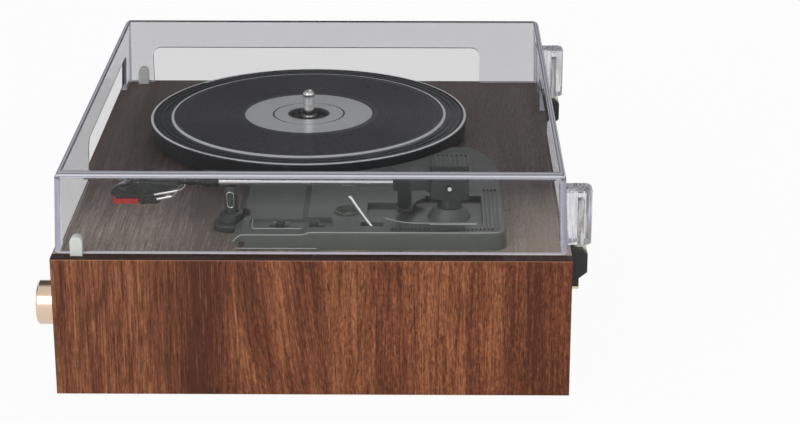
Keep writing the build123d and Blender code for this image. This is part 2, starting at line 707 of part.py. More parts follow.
with BuildPart() as drive_belt:
    for grow, mode in ((BELT_GAP + BELT_THICK, Mode.ADD), (BELT_GAP, Mode.SUBTRACT)):
        with BuildSketch(Plane.XY.offset(BELT_Z)):
            with Locations((PLATTER_X, PLATTER_Y)):
                Circle(DRIVE_R + grow)
            with Locations((MOTOR_X, MOTOR_Y)):
                Circle(PULLEY_R + grow)
            make_hull()
        extrude(amount=BELT_HIGH, mode=mode)
drive_belt.part.label = "drive_belt"
export_step(drive_belt.part, "parts/drive_belt.step")


# Tonearm unit
def lift_sector(inner, outer, margin):
    """Outline of the arc that the arm's finger sweeps about the pivot."""
    start = -90 - SWING - margin
    size = SWING + 2 * margin
    outside = CenterArc((ARM_X, PIVOT_Y), outer, start, size)
    inside = CenterArc((ARM_X, PIVOT_Y), inner, start, size)
    Line(outside @ 0, inside @ 0)
    Line(outside @ 1, inside @ 1)


lift_angle = radians(-90 - SWING / 2)
lift_r = (FINGER_IN + FINGER_OUT) / 2
stem_x = ARM_X + lift_r * cos(lift_angle)
stem_y = PIVOT_Y + lift_r * sin(lift_angle)
STEM_R = 2.4
LIFT_THICK = 1.8

with BuildPart() as tonearm_base:
    with BuildSketch(DECK_PLANE):
        with BuildLine():
            Polyline(
                (BASE_NEAR, BASE_FRONT), (BASE_NEAR, BASE_REAR), (BASE_CUT, BASE_REAR - 2),
                (BASE_FAR, BASE_REAR - 17), (BASE_FAR, BASE_FRONT), close=True,
            )
        make_face()
        fillet(vertices().sort_by(Axis.Y)[-3:], 8)
    extrude(amount=BASE_HIGH, taper=3)
    fillet(tonearm_base.faces().sort_by(Axis.Z)[-1].edges(), 1.2)
    # hollowed round the platter
    with BuildSketch(DECK_PLANE):
        with Locations((PLATTER_X, PLATTER_Y)):
            Circle(PLATTER_R + BASE_ROOM)
    extrude(amount=BASE_HIGH, mode=Mode.SUBTRACT)
    # the switch end is a step lower
    with BuildSketch(Plane.YZ.offset(BASE_NEAR + 1)):
        with BuildLine():
            Polyline(
                (BASE_FRONT - 1, DECK + BASE_LOW), (BASE_STEP, DECK + BASE_LOW),
                (BASE_STEP + 3.5, DECK + BASE_HIGH), (BASE_STEP + 3.5, DECK + BASE_HIGH + 1),
                (BASE_FRONT - 1, DECK + BASE_HIGH + 1), close=True,
            )
        make_face()
    extrude(amount=-(BASE_NEAR - BASE_FAR + 2), mode=Mode.SUBTRACT)
    # sloped lip that overhangs the front wall, cut out round the arm rest's foot
    with BuildSketch(Plane.YZ.offset(BASE_NEAR - 1)):
        with BuildLine():
            Polyline(
                (BASE_FRONT + BASE_WALL, DECK + 4.4), (BASE_FRONT - LIP_OUT, DECK + 4.4),
                (BASE_FRONT - LIP_OUT, DECK + 5.2), (BASE_FRONT - 1.9, DECK + BASE_LOW),
                (BASE_FRONT + BASE_WALL, DECK + BASE_LOW), close=True,
            )
        make_face()
    extrude(amount=-(BASE_NEAR - 1 - LIP_FAR))
    with BuildSketch(DECK_PLANE):
        with Locations((ARM_X, REST_Y)):
            Circle(REST_FLANGE_R + 1)
    extrude(amount=BASE_HIGH, mode=Mode.SUBTRACT)
    # well round the pivot, with a square bay for the cueing arc's front end
    with BuildSketch(Plane.XY.offset(DECK + WELL_FLOOR)):
        with Locations((ARM_X, PIVOT_Y)):
            Circle(WELL_R)
        with Locations((sum(WELL_X) / 2, sum(WELL_Y) / 2)):
            Rectangle(WELL_X[1] - WELL_X[0], WELL_Y[1] - WELL_Y[0], mode=Mode.INTERSECT)
        with Locations((sum(LIFT_BAY_X) / 2, sum(LIFT_BAY_Y) / 2)):
            Rectangle(LIFT_BAY_X[1] - LIFT_BAY_X[0], LIFT_BAY_Y[1] - LIFT_BAY_Y[0])
    extrude(amount=BASE_HIGH, mode=Mode.SUBTRACT)
    with Locations((ARM_X, PIVOT_Y, DECK + WELL_FLOOR)):
        Cone(BOSS_R, 8.2, BOSS_TOP - WELL_FLOOR, align=(Align.CENTER, Align.CENTER, Align.MIN))
    # short grooves along the near edge and long ones across the rear end
    with BuildSketch(Plane.XY.offset(DECK + BASE_HIGH - RIB_DEEP)):
        with Locations((BASE_NEAR - 6.4, PIVOT_Y - 4)):
            with GridLocations(0, RIB_PITCH, 1, RIBS):
                Rectangle(RIB_LONG, RIB_PITCH / 2)
        with Locations((sum(WELL_X) / 2, BASE_REAR - 8)):
            with GridLocations(0, RIB_PITCH, 1, REAR_RIBS):
                Rectangle(REAR_RIB_LONG, RIB_PITCH / 2)
    extrude(amount=RIB_DEEP, mode=Mode.SUBTRACT)
    # switch recess, transport screw seat and cue lever pocket
    with BuildSketch(Plane.XY.offset(DECK + BASE_LOW - RECESS_DEEP)):
        with Locations((SWITCH_X, RECESS_Y)):
            RectangleRounded(RECESS[0], RECESS[1], 2.5)
    extrude(amount=BASE_HIGH, mode=Mode.SUBTRACT)
    # hollow underside
    with BuildSketch(DECK_PLANE):
        with BuildLine():
            Polyline(
                (BASE_NEAR - BASE_WALL, BASE_FRONT + BASE_WALL),
                (BASE_NEAR - BASE_WALL, BASE_REAR - BASE_WALL),
                (BASE_CUT + BASE_WALL, BASE_REAR - 2 - BASE_WALL),
                (BASE_FAR + BASE_WALL, BASE_REAR - 19 - BASE_WALL),
                (BASE_FAR + BASE_WALL, BASE_FRONT + BASE_WALL), close=True,
            )
        make_face()
        fillet(vertices().sort_by(Axis.Y)[-3:], 6)
        with Locations((PLATTER_X, PLATTER_Y)):
            Circle(PLATTER_R + BASE_ROOM + BASE_WALL, mode=Mode.SUBTRACT)
        with Locations((ARM_X, REST_Y)):
            Circle(REST_FLANGE_R + 1 + BASE_WALL, mode=Mode.SUBTRACT)
        with Locations((ARM_X, PIVOT_Y)):
            Circle(7.5, mode=Mode.SUBTRACT)
        with Locations((ARM_X, TRANSPORT_Y)):
            Circle(5.5, mode=Mode.SUBTRACT)
        with Locations((stem_x, stem_y)):
            Circle(STEM_R + 2, mode=Mode.SUBTRACT)
        with Locations((LEVER_X, LEVER_Y - 1)):
            Rectangle(13, 16, mode=Mode.SUBTRACT)
    extrude(amount=WELL_FLOOR - PLATE_THICK, mode=Mode.SUBTRACT)
    # openings: pivot bore, stem guide, switch slots, screw seat, lever pocket
    with BuildSketch(DECK_PLANE):
        with Locations((ARM_X, PIVOT_Y)):
            Circle(SHAFT_R + RUNNING)
        with Locations((stem_x, stem_y)):
            Circle(STEM_R + RUNNING)
        with Locations((SWITCH_X, SPEED_Y)):
            SlotOverall(12, 2.2, rotation=90)
        with Locations((SWITCH_X, AUTOSTOP_Y)):
            SlotOverall(9, 2.2, rotation=90)
        with Locations((ARM_X, TRANSPORT_Y)):
            Circle(1.6)
        with Locations((LEVER_X, LEVER_Y - 1)):
            Rectangle(6, 12.6)
    extrude(amount=BASE_HIGH + 4, mode=Mode.SUBTRACT)
    with BuildSketch(Plane.XY.offset(DECK + 5.0)):
        with Locations((ARM_X, TRANSPORT_Y)):
            Circle(5.2)
    extrude(amount=BASE_HIGH, mode=Mode.SUBTRACT)
    with BuildSketch(Plane.YZ.offset(LEVER_X + 5.5)):
        with Locations((LEVER_Y, LEVER_Z)):
            Circle(PIN_R + RUNNING)
    extrude(amount=-11, mode=Mode.SUBTRACT)
    # recess in the well's floor for the lifting arc
    with BuildSketch(Plane.XY.offset(LIFT_TOP - LIFT_THICK - 0.3)):
        with BuildLine():
            lift_sector(FINGER_IN - 1.1, FINGER_OUT + 1.1, 9)
        make_face()
    extrude(amount=BASE_HIGH, mode=Mode.SUBTRACT)
tonearm_base.part.label = "tonearm_base"
export_step(tonearm_base.part, "parts/tonearm_base.step")

with BuildPart() as transport_screw:
    with BuildSketch(Plane.XY.offset(DECK + 5.0)):
        with Locations((ARM_X, TRANSPORT_Y)):
            Circle(1.6)
    extrude(amount=-14)
    with BuildSketch(Plane.XY.offset(DECK + 5.0)):
        with Locations((ARM_X, TRANSPORT_Y)):
            Circle(4.6)
    extrude(amount=2.6)
    fillet(transport_screw.faces().sort_by(Axis.Z)[-1].edges(), 0.8)
    with BuildSketch(Plane.XY.offset(DECK + 6.6)):
        with Locations((ARM_X, TRANSPORT_Y)):
            Rectangle(6.4, 1.2)
            Rectangle(1.2, 6.4)
    extrude(amount=2, mode=Mode.SUBTRACT)
transport_screw.part.label = "transport_screw"
export_step(transport_screw.part, "parts/transport_screw.step")

# Slide switches: knurled thumb piece and stem, with their housings under the unit
SWITCH_FLOOR = DECK + BASE_LOW - RECESS_DEEP
SWITCH_BODY_TOP = DECK + WELL_FLOOR - PLATE_THICK
STEM = (3.2, 1.8)


for name, y in (("speed_switch", SPEED_Y), ("autostop_switch", AUTOSTOP_Y - 2.0)):
    with BuildPart() as slide_switch:
        with BuildSketch(Plane.XY.offset(SWITCH_FLOOR + 0.3)):
            with Locations((SWITCH_X, y)):
                Rectangle(6.0, 5.0)
        extrude(amount=2.6, taper=6)
        with BuildSketch(Plane.XY.offset(SWITCH_FLOOR + 2.3)):
            with Locations((SWITCH_X, y)):
                with GridLocations(0, 1.5, 1, 3):
                    Rectangle(7, 0.5)
        extrude(amount=1, mode=Mode.SUBTRACT)
        with BuildSketch(Plane.XY.offset(SWITCH_FLOOR + 0.3)):
            with Locations((SWITCH_X, y)):
                Rectangle(STEM[1], STEM[0])
        extrude(amount=-(SWITCH_FLOOR + 0.3 - SWITCH_BODY_TOP + 2.0))
    slide_switch.part.label = name
    export_step(slide_switch.part, f"parts/{name}.step")

with BuildPart() as switch_housings:
    with BuildSketch(Plane.XY.offset(SWITCH_BODY_TOP)):
        with Locations((SWITCH_X, SPEED_Y), (SWITCH_X, AUTOSTOP_Y)):
            RectangleRounded(10, 17, 1)
            SlotOverall(13, 2.6, rotation=90, mode=Mode.SUBTRACT)
    extrude(amount=-5)
    with BuildSketch(Plane.XY.offset(SWITCH_BODY_TOP - 5)):
        with Locations((SWITCH_X, SPEED_Y), (SWITCH_X, AUTOSTOP_Y)):
            RectangleRounded(10, 17, 1)
    extrude(amount=-1.5)
    with BuildSketch(Plane.XY.offset(SWITCH_BODY_TOP - 6.5)):
        with Locations((SWITCH_X, SPEED_Y), (SWITCH_X, AUTOSTOP_Y)):
            with GridLocations(5, 4, 2, 3):
                Rectangle(0.8, 1.4)
    extrude(amount=-3.5)
switch_housings.part.label = "switch_housings"
export_step(switch_housings.part, "parts/switch_housings.step")

# Arm rest: flanged foot on the deck and a post with an open saddle
REST_POST_R = 4.3
SADDLE_Z = ARM_Z - TUBE_R - 0.3

with BuildPart() as rest_foot:
    with BuildSketch(upright_plane(ARM_X, REST_Y)):
        with BuildLine():
            Polyline(
                (REST_POST_R, DECK), (REST_FLANGE_R, DECK), (REST_FLANGE_R, DECK + 3.0),
                (REST_FLANGE_R - 1, DECK + 4.2), (7.0, DECK + 4.8), (6.6, DECK + 9.0),
                (5.8, DECK + 9.6), (REST_POST_R, DECK + 9.6), close=True,
            )
        make_face()
    revolve(axis=Axis((ARM_X, REST_Y, 0), (0, 0, 1)))
rest_foot.part.label = "rest_foot"
export_step(rest_foot.part, "parts/rest_foot.step")

with BuildPart() as rest_post:
    with BuildSketch(DECK_PLANE):
        with Locations((ARM_X, REST_Y)):
            Circle(REST_POST_R)
    extrude(amount=SADDLE_Z - DECK)
    with BuildSketch(Plane.XY.offset(SADDLE_Z - 3)):
        with Locations((ARM_X + 1.2, REST_Y)):
            RectangleRounded(11.6, 8.6, 1.4)
    extrude(amount=7.6)
    with BuildSketch(Plane.XZ.offset(-REST_Y + 6)):
        with Locations((ARM_X - 4, ARM_Z + 1.0)):
            Rectangle(2 * (TUBE_R + 4.5), 2 * (TUBE_R + 1.3))
            Rectangle(2 * (TUBE_R + 4.5), 2 * (TUBE_R + 1.3))
    extrude(amount=-12, mode=Mode.SUBTRACT)
    with BuildSketch(Plane.YZ.offset(ARM_X + REST_POST_R - 0.7)):
        with Locations((REST_Y, DECK + 16.0)):
            SlotOverall(9.5, 4.2, rotation=90)
    extrude(amount=2, mode=Mode.SUBTRACT)
rest_post.part.label = "rest_post"
export_step(rest_post.part, "parts/rest_post.step")

# Cueing: hand lever on its cross pin, and the arc that lifts the arm by its finger
lean = radians(LEVER_LEAN)
lever_plane = Plane(
    origin=(LEVER_X, LEVER_Y, LEVER_Z), x_dir=(1, 0, 0), z_dir=(0, -sin(lean), cos(lean))
)

with BuildPart() as cue_lever:
    with BuildSketch(Plane.YZ.offset(LEVER_X - 2.6)):
        with Locations((LEVER_Y, LEVER_Z)):
            Circle(2.8)
    extrude(amount=5.2)
    with BuildSketch(Plane.YZ.offset(LEVER_X - 5.4)):
        with Locations((LEVER_Y, LEVER_Z)):
            Circle(PIN_R)
    extrude(amount=10.8)
    with BuildSketch(lever_plane):
        Circle(1.7)
    extrude(amount=8)
    with BuildSketch(lever_plane.offset(8)):
        Circle(1.15)
    extrude(amount=LEVER_LENGTH - 8)
    fillet(cue_lever.faces().sort_by(Axis((0, 0, 0), lever_plane.z_dir))[-1].edges(), 0.7)
cue_lever.part.label = "cue_lever"
export_step(cue_lever.part, "parts/cue_lever.step")

with BuildPart() as cue_lift:
    with BuildSketch(Plane.XY.offset(LIFT_TOP - LIFT_THICK)):
        with BuildLine():
            lift_sector(FINGER_IN - 0.4, FINGER_OUT + 0.4, 8)
        make_face()
    extrude(amount=LIFT_THICK)
    fillet(cue_lift.faces().sort_by(Axis.Z)[-1].edges(), 0.5)
    with BuildSketch(Plane.XY.offset(LIFT_TOP - LIFT_THICK)):
        with Locations((stem_x, stem_y)):
            Circle(STEM_R)
    extrude(amount=-(LIFT_TOP - LIFT_THICK - DECK - 0.6))
cue_lift.part.label = "cue_lift"
export_step(cue_lift.part, "parts/cue_lift.step")

# Arm swivel: shaft and neck under a ribbed yoke that is open to the front
YOKE_BASE = 2.5
yoke_low_inside = YOKE_LOW + YOKE_BASE
SCREW_Z = ARM_Z - 0.5

with BuildPart() as arm_swivel:
    with BuildSketch(Plane.XY.offset(DECK - 4)):
        with Locations((ARM_X, PIVOT_Y)):
            Circle(SHAFT_R)
    extrude(amount=BOSS_TOP + 4.3)
    with BuildSketch(Plane.XY.offset(DECK + BOSS_TOP + 0.3)):
        with Locations((ARM_X, PIVOT_Y)):
            Circle(7.0)
    extrude(amount=YOKE_LOW - DECK - BOSS_TOP - 0.3, taper=8)
    with BuildSketch(Plane.XY.offset(YOKE_LOW)):
        with Locations((ARM_X, PIVOT_Y)):
            RectangleRounded(YOKE_WIDE, YOKE_WIDE, 1.6)
    extrude(amount=YOKE_TOP - YOKE_LOW)
    fillet(arm_swivel.faces().sort_by(Axis.Z)[-1].edges(), 1.2)
    with BuildSketch(Plane.XY.offset(YOKE_TOP - 0.7)):
        with Locations((ARM_X, PIVOT_Y)):
            with GridLocations(0, 2.6, 1, 8):
                Rectangle(YOKE_WIDE - 3, 1.0)
    extrude(amount=1, mode=Mode.SUBTRACT)
    with BuildSketch(Plane.XZ.offset(-PIVOT_Y + YOKE_WIDE / 2 + 1)):
        with Locations((ARM_X, (yoke_low_inside + YOKE_TOP - CHEEK) / 2)):
            Rectangle(YOKE_WIDE - 2 * CHEEK, YOKE_TOP - CHEEK - yoke_low_inside)
    extrude(amount=-(YOKE_WIDE - 1.2), mode=Mode.SUBTRACT)
    with BuildSketch(Plane.YZ.offset(ARM_X - YOKE_WIDE / 2 - 1)):
        with Locations((PIVOT_Y, SCREW_Z)):
            Circle(PIN_R)
    extrude(amount=YOKE_WIDE + 2, mode=Mode.SUBTRACT)
arm_swivel.part.label = "arm_swivel"
export_step(arm_swivel.part, "parts/arm_swivel.step")

with BuildPart() as pivot_screws:
    screw_in = 6.2
    for side in (-1, 1):
        with BuildSketch(Plane.YZ.offset(ARM_X + side * screw_in)):
            with Locations((PIVOT_Y, SCREW_Z)):
                Circle(PIN_R)
        extrude(amount=side * (YOKE_WIDE / 2 - screw_in))
        with BuildSketch(Plane.YZ.offset(ARM_X + side * YOKE_WIDE / 2)):
            with Locations((PIVOT_Y, SCREW_Z)):
                Circle(2.3)
        extrude(amount=side * 0.8)
pivot_screws.part.label = "pivot_screws"
export_step(pivot_screws.part, "parts/pivot_screws.step")

# Arm carrier: pivoted block, boom and the finger that hangs over the lifting arc
CARRIER_HALF = 8.0
TUBE_END = PIVOT_Y - FINGER_IN + 2
FINGER_FOOT = LIFT_TOP + 0.4

with BuildPart() as arm_carrier:
    with BuildSketch(Plane.YZ.offset(ARM_X - CARRIER_HALF)):
        with BuildLine():
            Polyline(
                (PIVOT_Y - 13, ARM_Z - 3.6), (PIVOT_Y + 8.2, ARM_Z - 3.6),
                (PIVOT_Y + 8.2, ARM_Z + 2.6), (PIVOT_Y - 7, ARM_Z + 5.2),
                (PIVOT_Y - 13, ARM_Z + 5.2), close=True,
            )
        make_face()
    extrude(amount=2 * CARRIER_HALF)
    chamfer(arm_carrier.edges().filter_by(Axis.Z), 0.8)
    with BuildSketch(Plane.YZ.offset(ARM_X - 4.6)):
        with BuildLine():
            Polyline(
                (PIVOT_Y - 12, ARM_Z + 4.6), (PIVOT_Y - FINGER_OUT - 2.5, ARM_Z + 4.6),
                (PIVOT_Y - FINGER_OUT - 2.5, ARM_Z - 4.2), (PIVOT_Y - 12, ARM_Z - 3.6), close=True,
            )
        make_face()
        fillet(vertices().sort_by(Axis.X)[:2], 1.5)
    extrude(amount=9.2)
    with BuildSketch(Plane.YZ.offset(ARM_X - 3.2)):
        with BuildLine():
            Polyline(
                (PIVOT_Y - FINGER_IN, ARM_Z - 2), (PIVOT_Y - FINGER_OUT, ARM_Z - 2),
                (PIVOT_Y - FINGER_OUT, FINGER_FOOT + 2), (PIVOT_Y - FINGER_OUT + 2, FINGER_FOOT),
                (PIVOT_Y - FINGER_IN - 2, FINGER_FOOT), (PIVOT_Y - FINGER_IN, FINGER_FOOT + 2),
                close=True,
            )
        make_face()
    extrude(amount=6.4)
    with BuildSketch(Plane.XZ.offset(-PIVOT_Y + FINGER_OUT + 4)):
        with Locations((ARM_X, ARM_Z)):
            Circle(TUBE_R)
    extrude(amount=-(TUBE_END - PIVOT_Y + FINGER_OUT + 4), mode=Mode.SUBTRACT)
    with BuildSketch(Plane.YZ.offset(ARM_X - CARRIER_HALF - 1)):
        with Locations((PIVOT_Y, SCREW_Z)):
            Circle(PIN_R + 0.06)
    extrude(amount=2 * CARRIER_HALF + 2, mode=Mode.SUBTRACT)
arm_carrier.part.label = "arm_carrier"
export_step(arm_carrier.part, "parts/arm_carrier.step")

COLLAR_REAR = FRONT + 89.0
NECK_R = 3.6

with BuildPart() as arm_tube:
    with BuildSketch(Plane.XZ.offset(-TUBE_END)):
        with Locations((ARM_X, ARM_Z)):
            Circle(TUBE_R)
            Circle(TUBE_R - 0.6, mode=Mode.SUBTRACT)
    extrude(amount=TUBE_END - COLLAR_REAR + 6)
arm_tube.part.label = "arm_tube"
export_step(arm_tube.part, "parts/arm_tube.step")

# Headshell: arched cover, open underneath, with finger lift, neck and collar
SHELL_HALF = 7.5
SHELL_WALL = 1.4
shell_low = ARM_Z - 6.4

with BuildPart() as headshell:
    with BuildSketch(Plane.YZ.offset(ARM_X - SHELL_HALF)):
        with BuildLine():
            Line((SHELL_FRONT, shell_low), (SHELL_FRONT, ARM_Z - 2.8))
            ThreePointArc((SHELL_FRONT, ARM_Z - 2.8), (SHELL_FRONT + 18, ARM_Z + 0.8),
                          (SHELL_REAR, ARM_Z - 0.4))
            Polyline((SHELL_REAR, ARM_Z - 0.4), (SHELL_REAR, shell_low + 1), (SHELL_FRONT, shell_low))
        make_face()
    extrude(amount=2 * SHELL_HALF)
    fillet(headshell.edges().filter_by(Axis.Z), 2.5)
    with BuildSketch(Plane.XY.offset(shell_low - 1)):
        with Locations((ARM_X, (SHELL_FRONT + SHELL_REAR) / 2)):
            RectangleRounded(2 * (SHELL_HALF - SHELL_WALL), SHELL_REAR - SHELL_FRONT - 2 * SHELL_WALL, 1.5)
    extrude(amount=3.6, mode=Mode.SUBTRACT)
    with BuildSketch(Plane.XZ.offset(-COLLAR_REAR)):
        with Locations((ARM_X, ARM_Z)):
            Circle(NECK_R)
    extrude(amount=COLLAR_REAR - SHELL_REAR + 1.5)
    with BuildSketch(Plane.XZ.offset(-COLLAR_REAR)):
        with Locations((ARM_X, ARM_Z)):
            Circle(4.2)
    extrude(amount=6)
    with BuildSketch(Plane.XZ.offset(-COLLAR_REAR - 1)):
        with Locations((ARM_X, ARM_Z)):
            Circle(TUBE_R)
    extrude(amount=7, mode=Mode.SUBTRACT)
    with BuildSketch(Plane.XY.offset(shell_low + 1.0)):
        with BuildLine():
            Polyline(
                (ARM_X + SHELL_HALF - 0.6, SHELL_FRONT + 8), (ARM_X + SHELL_HALF + 8, SHELL_FRONT + 3),
                (ARM_X + SHELL_HALF + 10, SHELL_FRONT + 5.5),
                (ARM_X + SHELL_HALF - 0.6, SHELL_FRONT + 13), close=True,
            )
        make_face()
        fillet(vertices().sort_by(Axis.X)[-2:], 1.2)
    extrude(amount=1.3)
headshell.part.label = "headshell"
export_step(headshell.part, "parts/headshell.step")

# Cartridge with its pins, and the red stylus carrier with cantilever and tip
cartridge_top = shell_low + 2.6

with BuildPart() as cartridge:
    with BuildSketch(Plane.YZ.offset(ARM_X - 5.2)):
        with BuildLine():
            Polyline(
                (FRONT + 31, cartridge_top), (FRONT + 60, cartridge_top), (FRONT + 57, DECK + 19),
                (FRONT + 55, DECK + 16), (FRONT + 44.4, DECK + 15.2), (FRONT + 44.4, DECK + 18.6),
                (FRONT + 31, DECK + 18.6), close=True,
            )
        make_face()
    extrude(amount=10.4)
    chamfer(cartridge.edges().filter_by(Axis.X).sort_by(Axis.Z)[:2], 0.6)
cartridge.part.label = "cartridge"
export_step(cartridge.part, "parts/cartridge.step")

with BuildPart() as cartridge_pins:
    with BuildSketch(Plane.XZ.offset(-(FRONT + 64))):
        with Locations((ARM_X, DECK + 21)):
            with GridLocations(5, 2.6, 2, 2):
                Circle(0.6)
    extrude(amount=7)
    add(cartridge.part, mode=Mode.SUBTRACT)
cartridge_pins.part.label = "cartridge_pins"
export_step(cartridge_pins.part, "parts/cartridge_pins.step")

with BuildPart() as stylus:
    with BuildSketch(Plane.XY.offset(DECK + 18.6)):
        with Locations((ARM_X, FRONT + 36.6)):
            RectangleRounded(9.6, 15.2, 1.2)
    extrude(amount=-3.4, taper=9)
    with BuildSketch(Plane.XY.offset(DECK + 15.3)):
        with Locations((ARM_X, STYLUS_Y)):
            Circle(0.9)
    extrude(amount=-0.9, taper=30)
stylus.part.label = "stylus"
export_step(stylus.part, "parts/stylus.step")

# Lid: drafted clear shell with openings that let a full-size record pass under its walls
with BuildPart() as lid:
    with BuildSketch(Plane.XY.offset(LID_FLOOR)):
        with Locations((0, (LID_FRONT + LID_REAR) / 2)):
            RectangleRounded(2 * LID_X, LID_REAR - LID_FRONT, LID_CORNER)
    extrude(amount=LID_HIGH, taper=degrees(atan(LID_DRAFT / LID_HIGH)))
    fillet(lid.faces().sort_by(Axis.Z)[-1].edges(), LID_EDGE)
    offset(amount=-LID_WALL, openings=lid.faces().sort_by(Axis.Z)[0])
    opening_high = OPENING_TOP - LID_FLOOR
    with BuildSketch(Plane.YZ.offset(-LID_X - 1)):
        with Locations((PLATTER_Y, OPENING_TOP - opening_high)):
            RectangleRounded(SIDE_OPENING, 2 * opening_high, OPENING_CORNER)
    extrude(amount=12, mode=Mode.SUBTRACT)
    with BuildSketch(Plane.XZ.offset(-LID_FRONT + 1)):
        with Locations((PLATTER_X, OPENING_TOP - opening_high)):
            RectangleRounded(FRONT_OPENING, 2 * opening_high, OPENING_CORNER)
    extrude(amount=-12, mode=Mode.SUBTRACT)
    with BuildSketch(Plane.XZ.offset(-LID_REAR - 1)):
        with Locations((PLATTER_X, OPENING_TOP - opening_high)):
            RectangleRounded(REAR_OPENING, 2 * opening_high, OPENING_CORNER)
    extrude(amount=12, mode=Mode.SUBTRACT)
    with BuildSketch(Plane.XY.offset(LID_FLOOR)):
        with Locations([(LID_X - LID_WALL / 2, y) for y in TAB_Y]):
            Rectangle(LID_WALL - 0.4, TAB_LONG)
    extrude(amount=-(LID_GAP - TAB_LIFT))
lid.part.label = "lid"
export_step(lid.part, "parts/lid.step")

# Soft U-shaped bumpers clipped over the lower edge near the front corners
BUMPER_WIDE = 6.6
BUMPER_HIGH = 11.0

with BuildPart() as lid_bumpers:
    for side in (-1, 1):
        wall_mid = side * (LID_X - LID_WALL / 2 - 0.2)
        with BuildSketch(Plane.YZ.offset(wall_mid - 3.4)):
            with Locations((BUMPER_Y, LID_FLOOR - 1 + (BUMPER_HIGH - BUMPER_WIDE / 2) / 2)):
                Rectangle(BUMPER_WIDE, BUMPER_HIGH - BUMPER_WIDE / 2)
            with Locations((BUMPER_Y, LID_FLOOR - 1 + BUMPER_HIGH - BUMPER_WIDE / 2)):
                Circle(BUMPER_WIDE / 2)
        extrude(amount=6.8)
    add(lid.part, mode=Mode.SUBTRACT)
lid_bumpers.part.label = "lid_bumpers"
export_step(lid_bumpers.part, "parts/lid_bumpers.step")

# Hinges: clear socket on the lid, steel tongue pushed into it, black bracket on the case
for side, x in (("left", -HINGE_X), ("right", HINGE_X)):
    with BuildPart() as hinge_socket:
        with BuildSketch(Plane.XY.offset(HINGE_LOW)):
            with Locations((x, (LID_REAR - 2.4 + REAR + HINGE_OUT) / 2)):
                Rectangle(HINGE_WIDE, REAR + HINGE_OUT - LID_REAR + 2.4)
            fillet(vertices().sort_by(Axis.Y)[-2:], 4)
        extrude(amount=HINGE_TOP - HINGE_LOW)
        chamfer(hinge_socket.faces().sort_by(Axis.Z)[-1].edges(), 0.8)
        with BuildSketch(Plane.XZ.offset(-REAR - HINGE_OUT)):
            with Locations((x, (HINGE_LOW + HINGE_TOP) / 2)):
                with GridLocations(3.6, 0, 4, 1):
                    Rectangle(1.0, HINGE_TOP - HINGE_LOW)
        extrude(amount=1.0, mode=Mode.SUBTRACT)
        with BuildSketch(Plane.XY.offset(HINGE_LOW)):
            with Locations((x, AXIS_Y)):
                Rectangle(TONGUE_WIDE, TONGUE_THICK)
        extrude(amount=TONGUE_TOP - HINGE_LOW, mode=Mode.SUBTRACT)
        add(lid.part, mode=Mode.SUBTRACT)
    hinge_socket.part.label = f"hinge_socket_{side}"
    export_step(hinge_socket.part, f"parts/hinge_socket_{side}.step")

    with BuildPart() as hinge_tongue:
        with BuildSketch(Plane.YZ.offset(x - TONGUE_WIDE / 2)):
            with Locations((AXIS_Y, (AXIS_Z + TONGUE_TOP) / 2)):
                Rectangle(TONGUE_THICK, TONGUE_TOP - AXIS_Z)
            with Locations((AXIS_Y, AXIS_Z)):
                Circle(KNUCKLE_R)
                Circle(PIN_R + RUNNING, mode=Mode.SUBTRACT)
        extrude(amount=TONGUE_WIDE)
    hinge_tongue.part.label = f"hinge_tongue_{side}"
    export_step(hinge_tongue.part, f"parts/hinge_tongue_{side}.step")

    with BuildPart() as hinge_bracket:
        with BuildSketch(Plane.YZ.offset(x - 8)):
            with BuildLine():
                Polyline(
                    (REAR, DECK - 0.4), (REAR + 6.5, DECK - 0.4), (REAR + BRACKET_DEEP, DECK - 3.4),
                    (REAR + BRACKET_DEEP, DECK - 14), (REAR + 4.8, DECK - 17.8),
                    (REAR + 4.8, BRACKET_LOW), (REAR, BRACKET_LOW), close=True,
                )
            make_face()
        extrude(amount=16)
        with BuildSketch(Plane.YZ.offset(x - TONGUE_WIDE / 2 - 0.4)):
            with Locations((REAR + 1.1 + 5, DECK - 5)):
                Rectangle(10, 16)
        extrude(amount=TONGUE_WIDE + 0.8, mode=Mode.SUBTRACT)
        with BuildSketch(Plane.YZ.offset(x - 8)):
            with Locations((AXIS_Y, AXIS_Z)):
                Circle(PIN_R)
        extrude(amount=16, mode=Mode.SUBTRACT)
    hinge_bracket.part.label = f"hinge_bracket_{side}"
    export_step(hinge_bracket.part, f"parts/hinge_bracket_{side}.step")

with BuildPart() as hinge_pins:
    for x in (-HINGE_X, HINGE_X):
        with BuildSketch(Plane.YZ.offset(x - 8)):
            with Locations((AXIS_Y, AXIS_Z)):
                Circle(PIN_R)
        extrude(amount=16)
hinge_pins.part.label = "hinge_pins"
export_step(hinge_pins.part, "parts/hinge_pins.step")
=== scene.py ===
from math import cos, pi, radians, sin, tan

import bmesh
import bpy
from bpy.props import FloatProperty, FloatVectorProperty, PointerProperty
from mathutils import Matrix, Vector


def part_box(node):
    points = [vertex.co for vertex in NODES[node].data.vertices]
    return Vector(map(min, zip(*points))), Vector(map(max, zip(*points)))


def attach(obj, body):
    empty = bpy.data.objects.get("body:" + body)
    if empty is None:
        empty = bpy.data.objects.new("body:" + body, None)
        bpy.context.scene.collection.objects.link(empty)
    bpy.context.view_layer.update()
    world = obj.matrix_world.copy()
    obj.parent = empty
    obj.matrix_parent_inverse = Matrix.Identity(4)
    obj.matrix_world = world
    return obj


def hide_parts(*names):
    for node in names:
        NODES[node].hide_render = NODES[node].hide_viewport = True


bl_info = {
    "name": "Record player dressing",
    "version": (1, 0, 0),
    "blender": (4, 5, 0),
    "location": "3D View > Sidebar > Record player",
    "description": "Finishes and fine pieces for a belt-drive record player with a clear lid",
    "category": "Object",
}

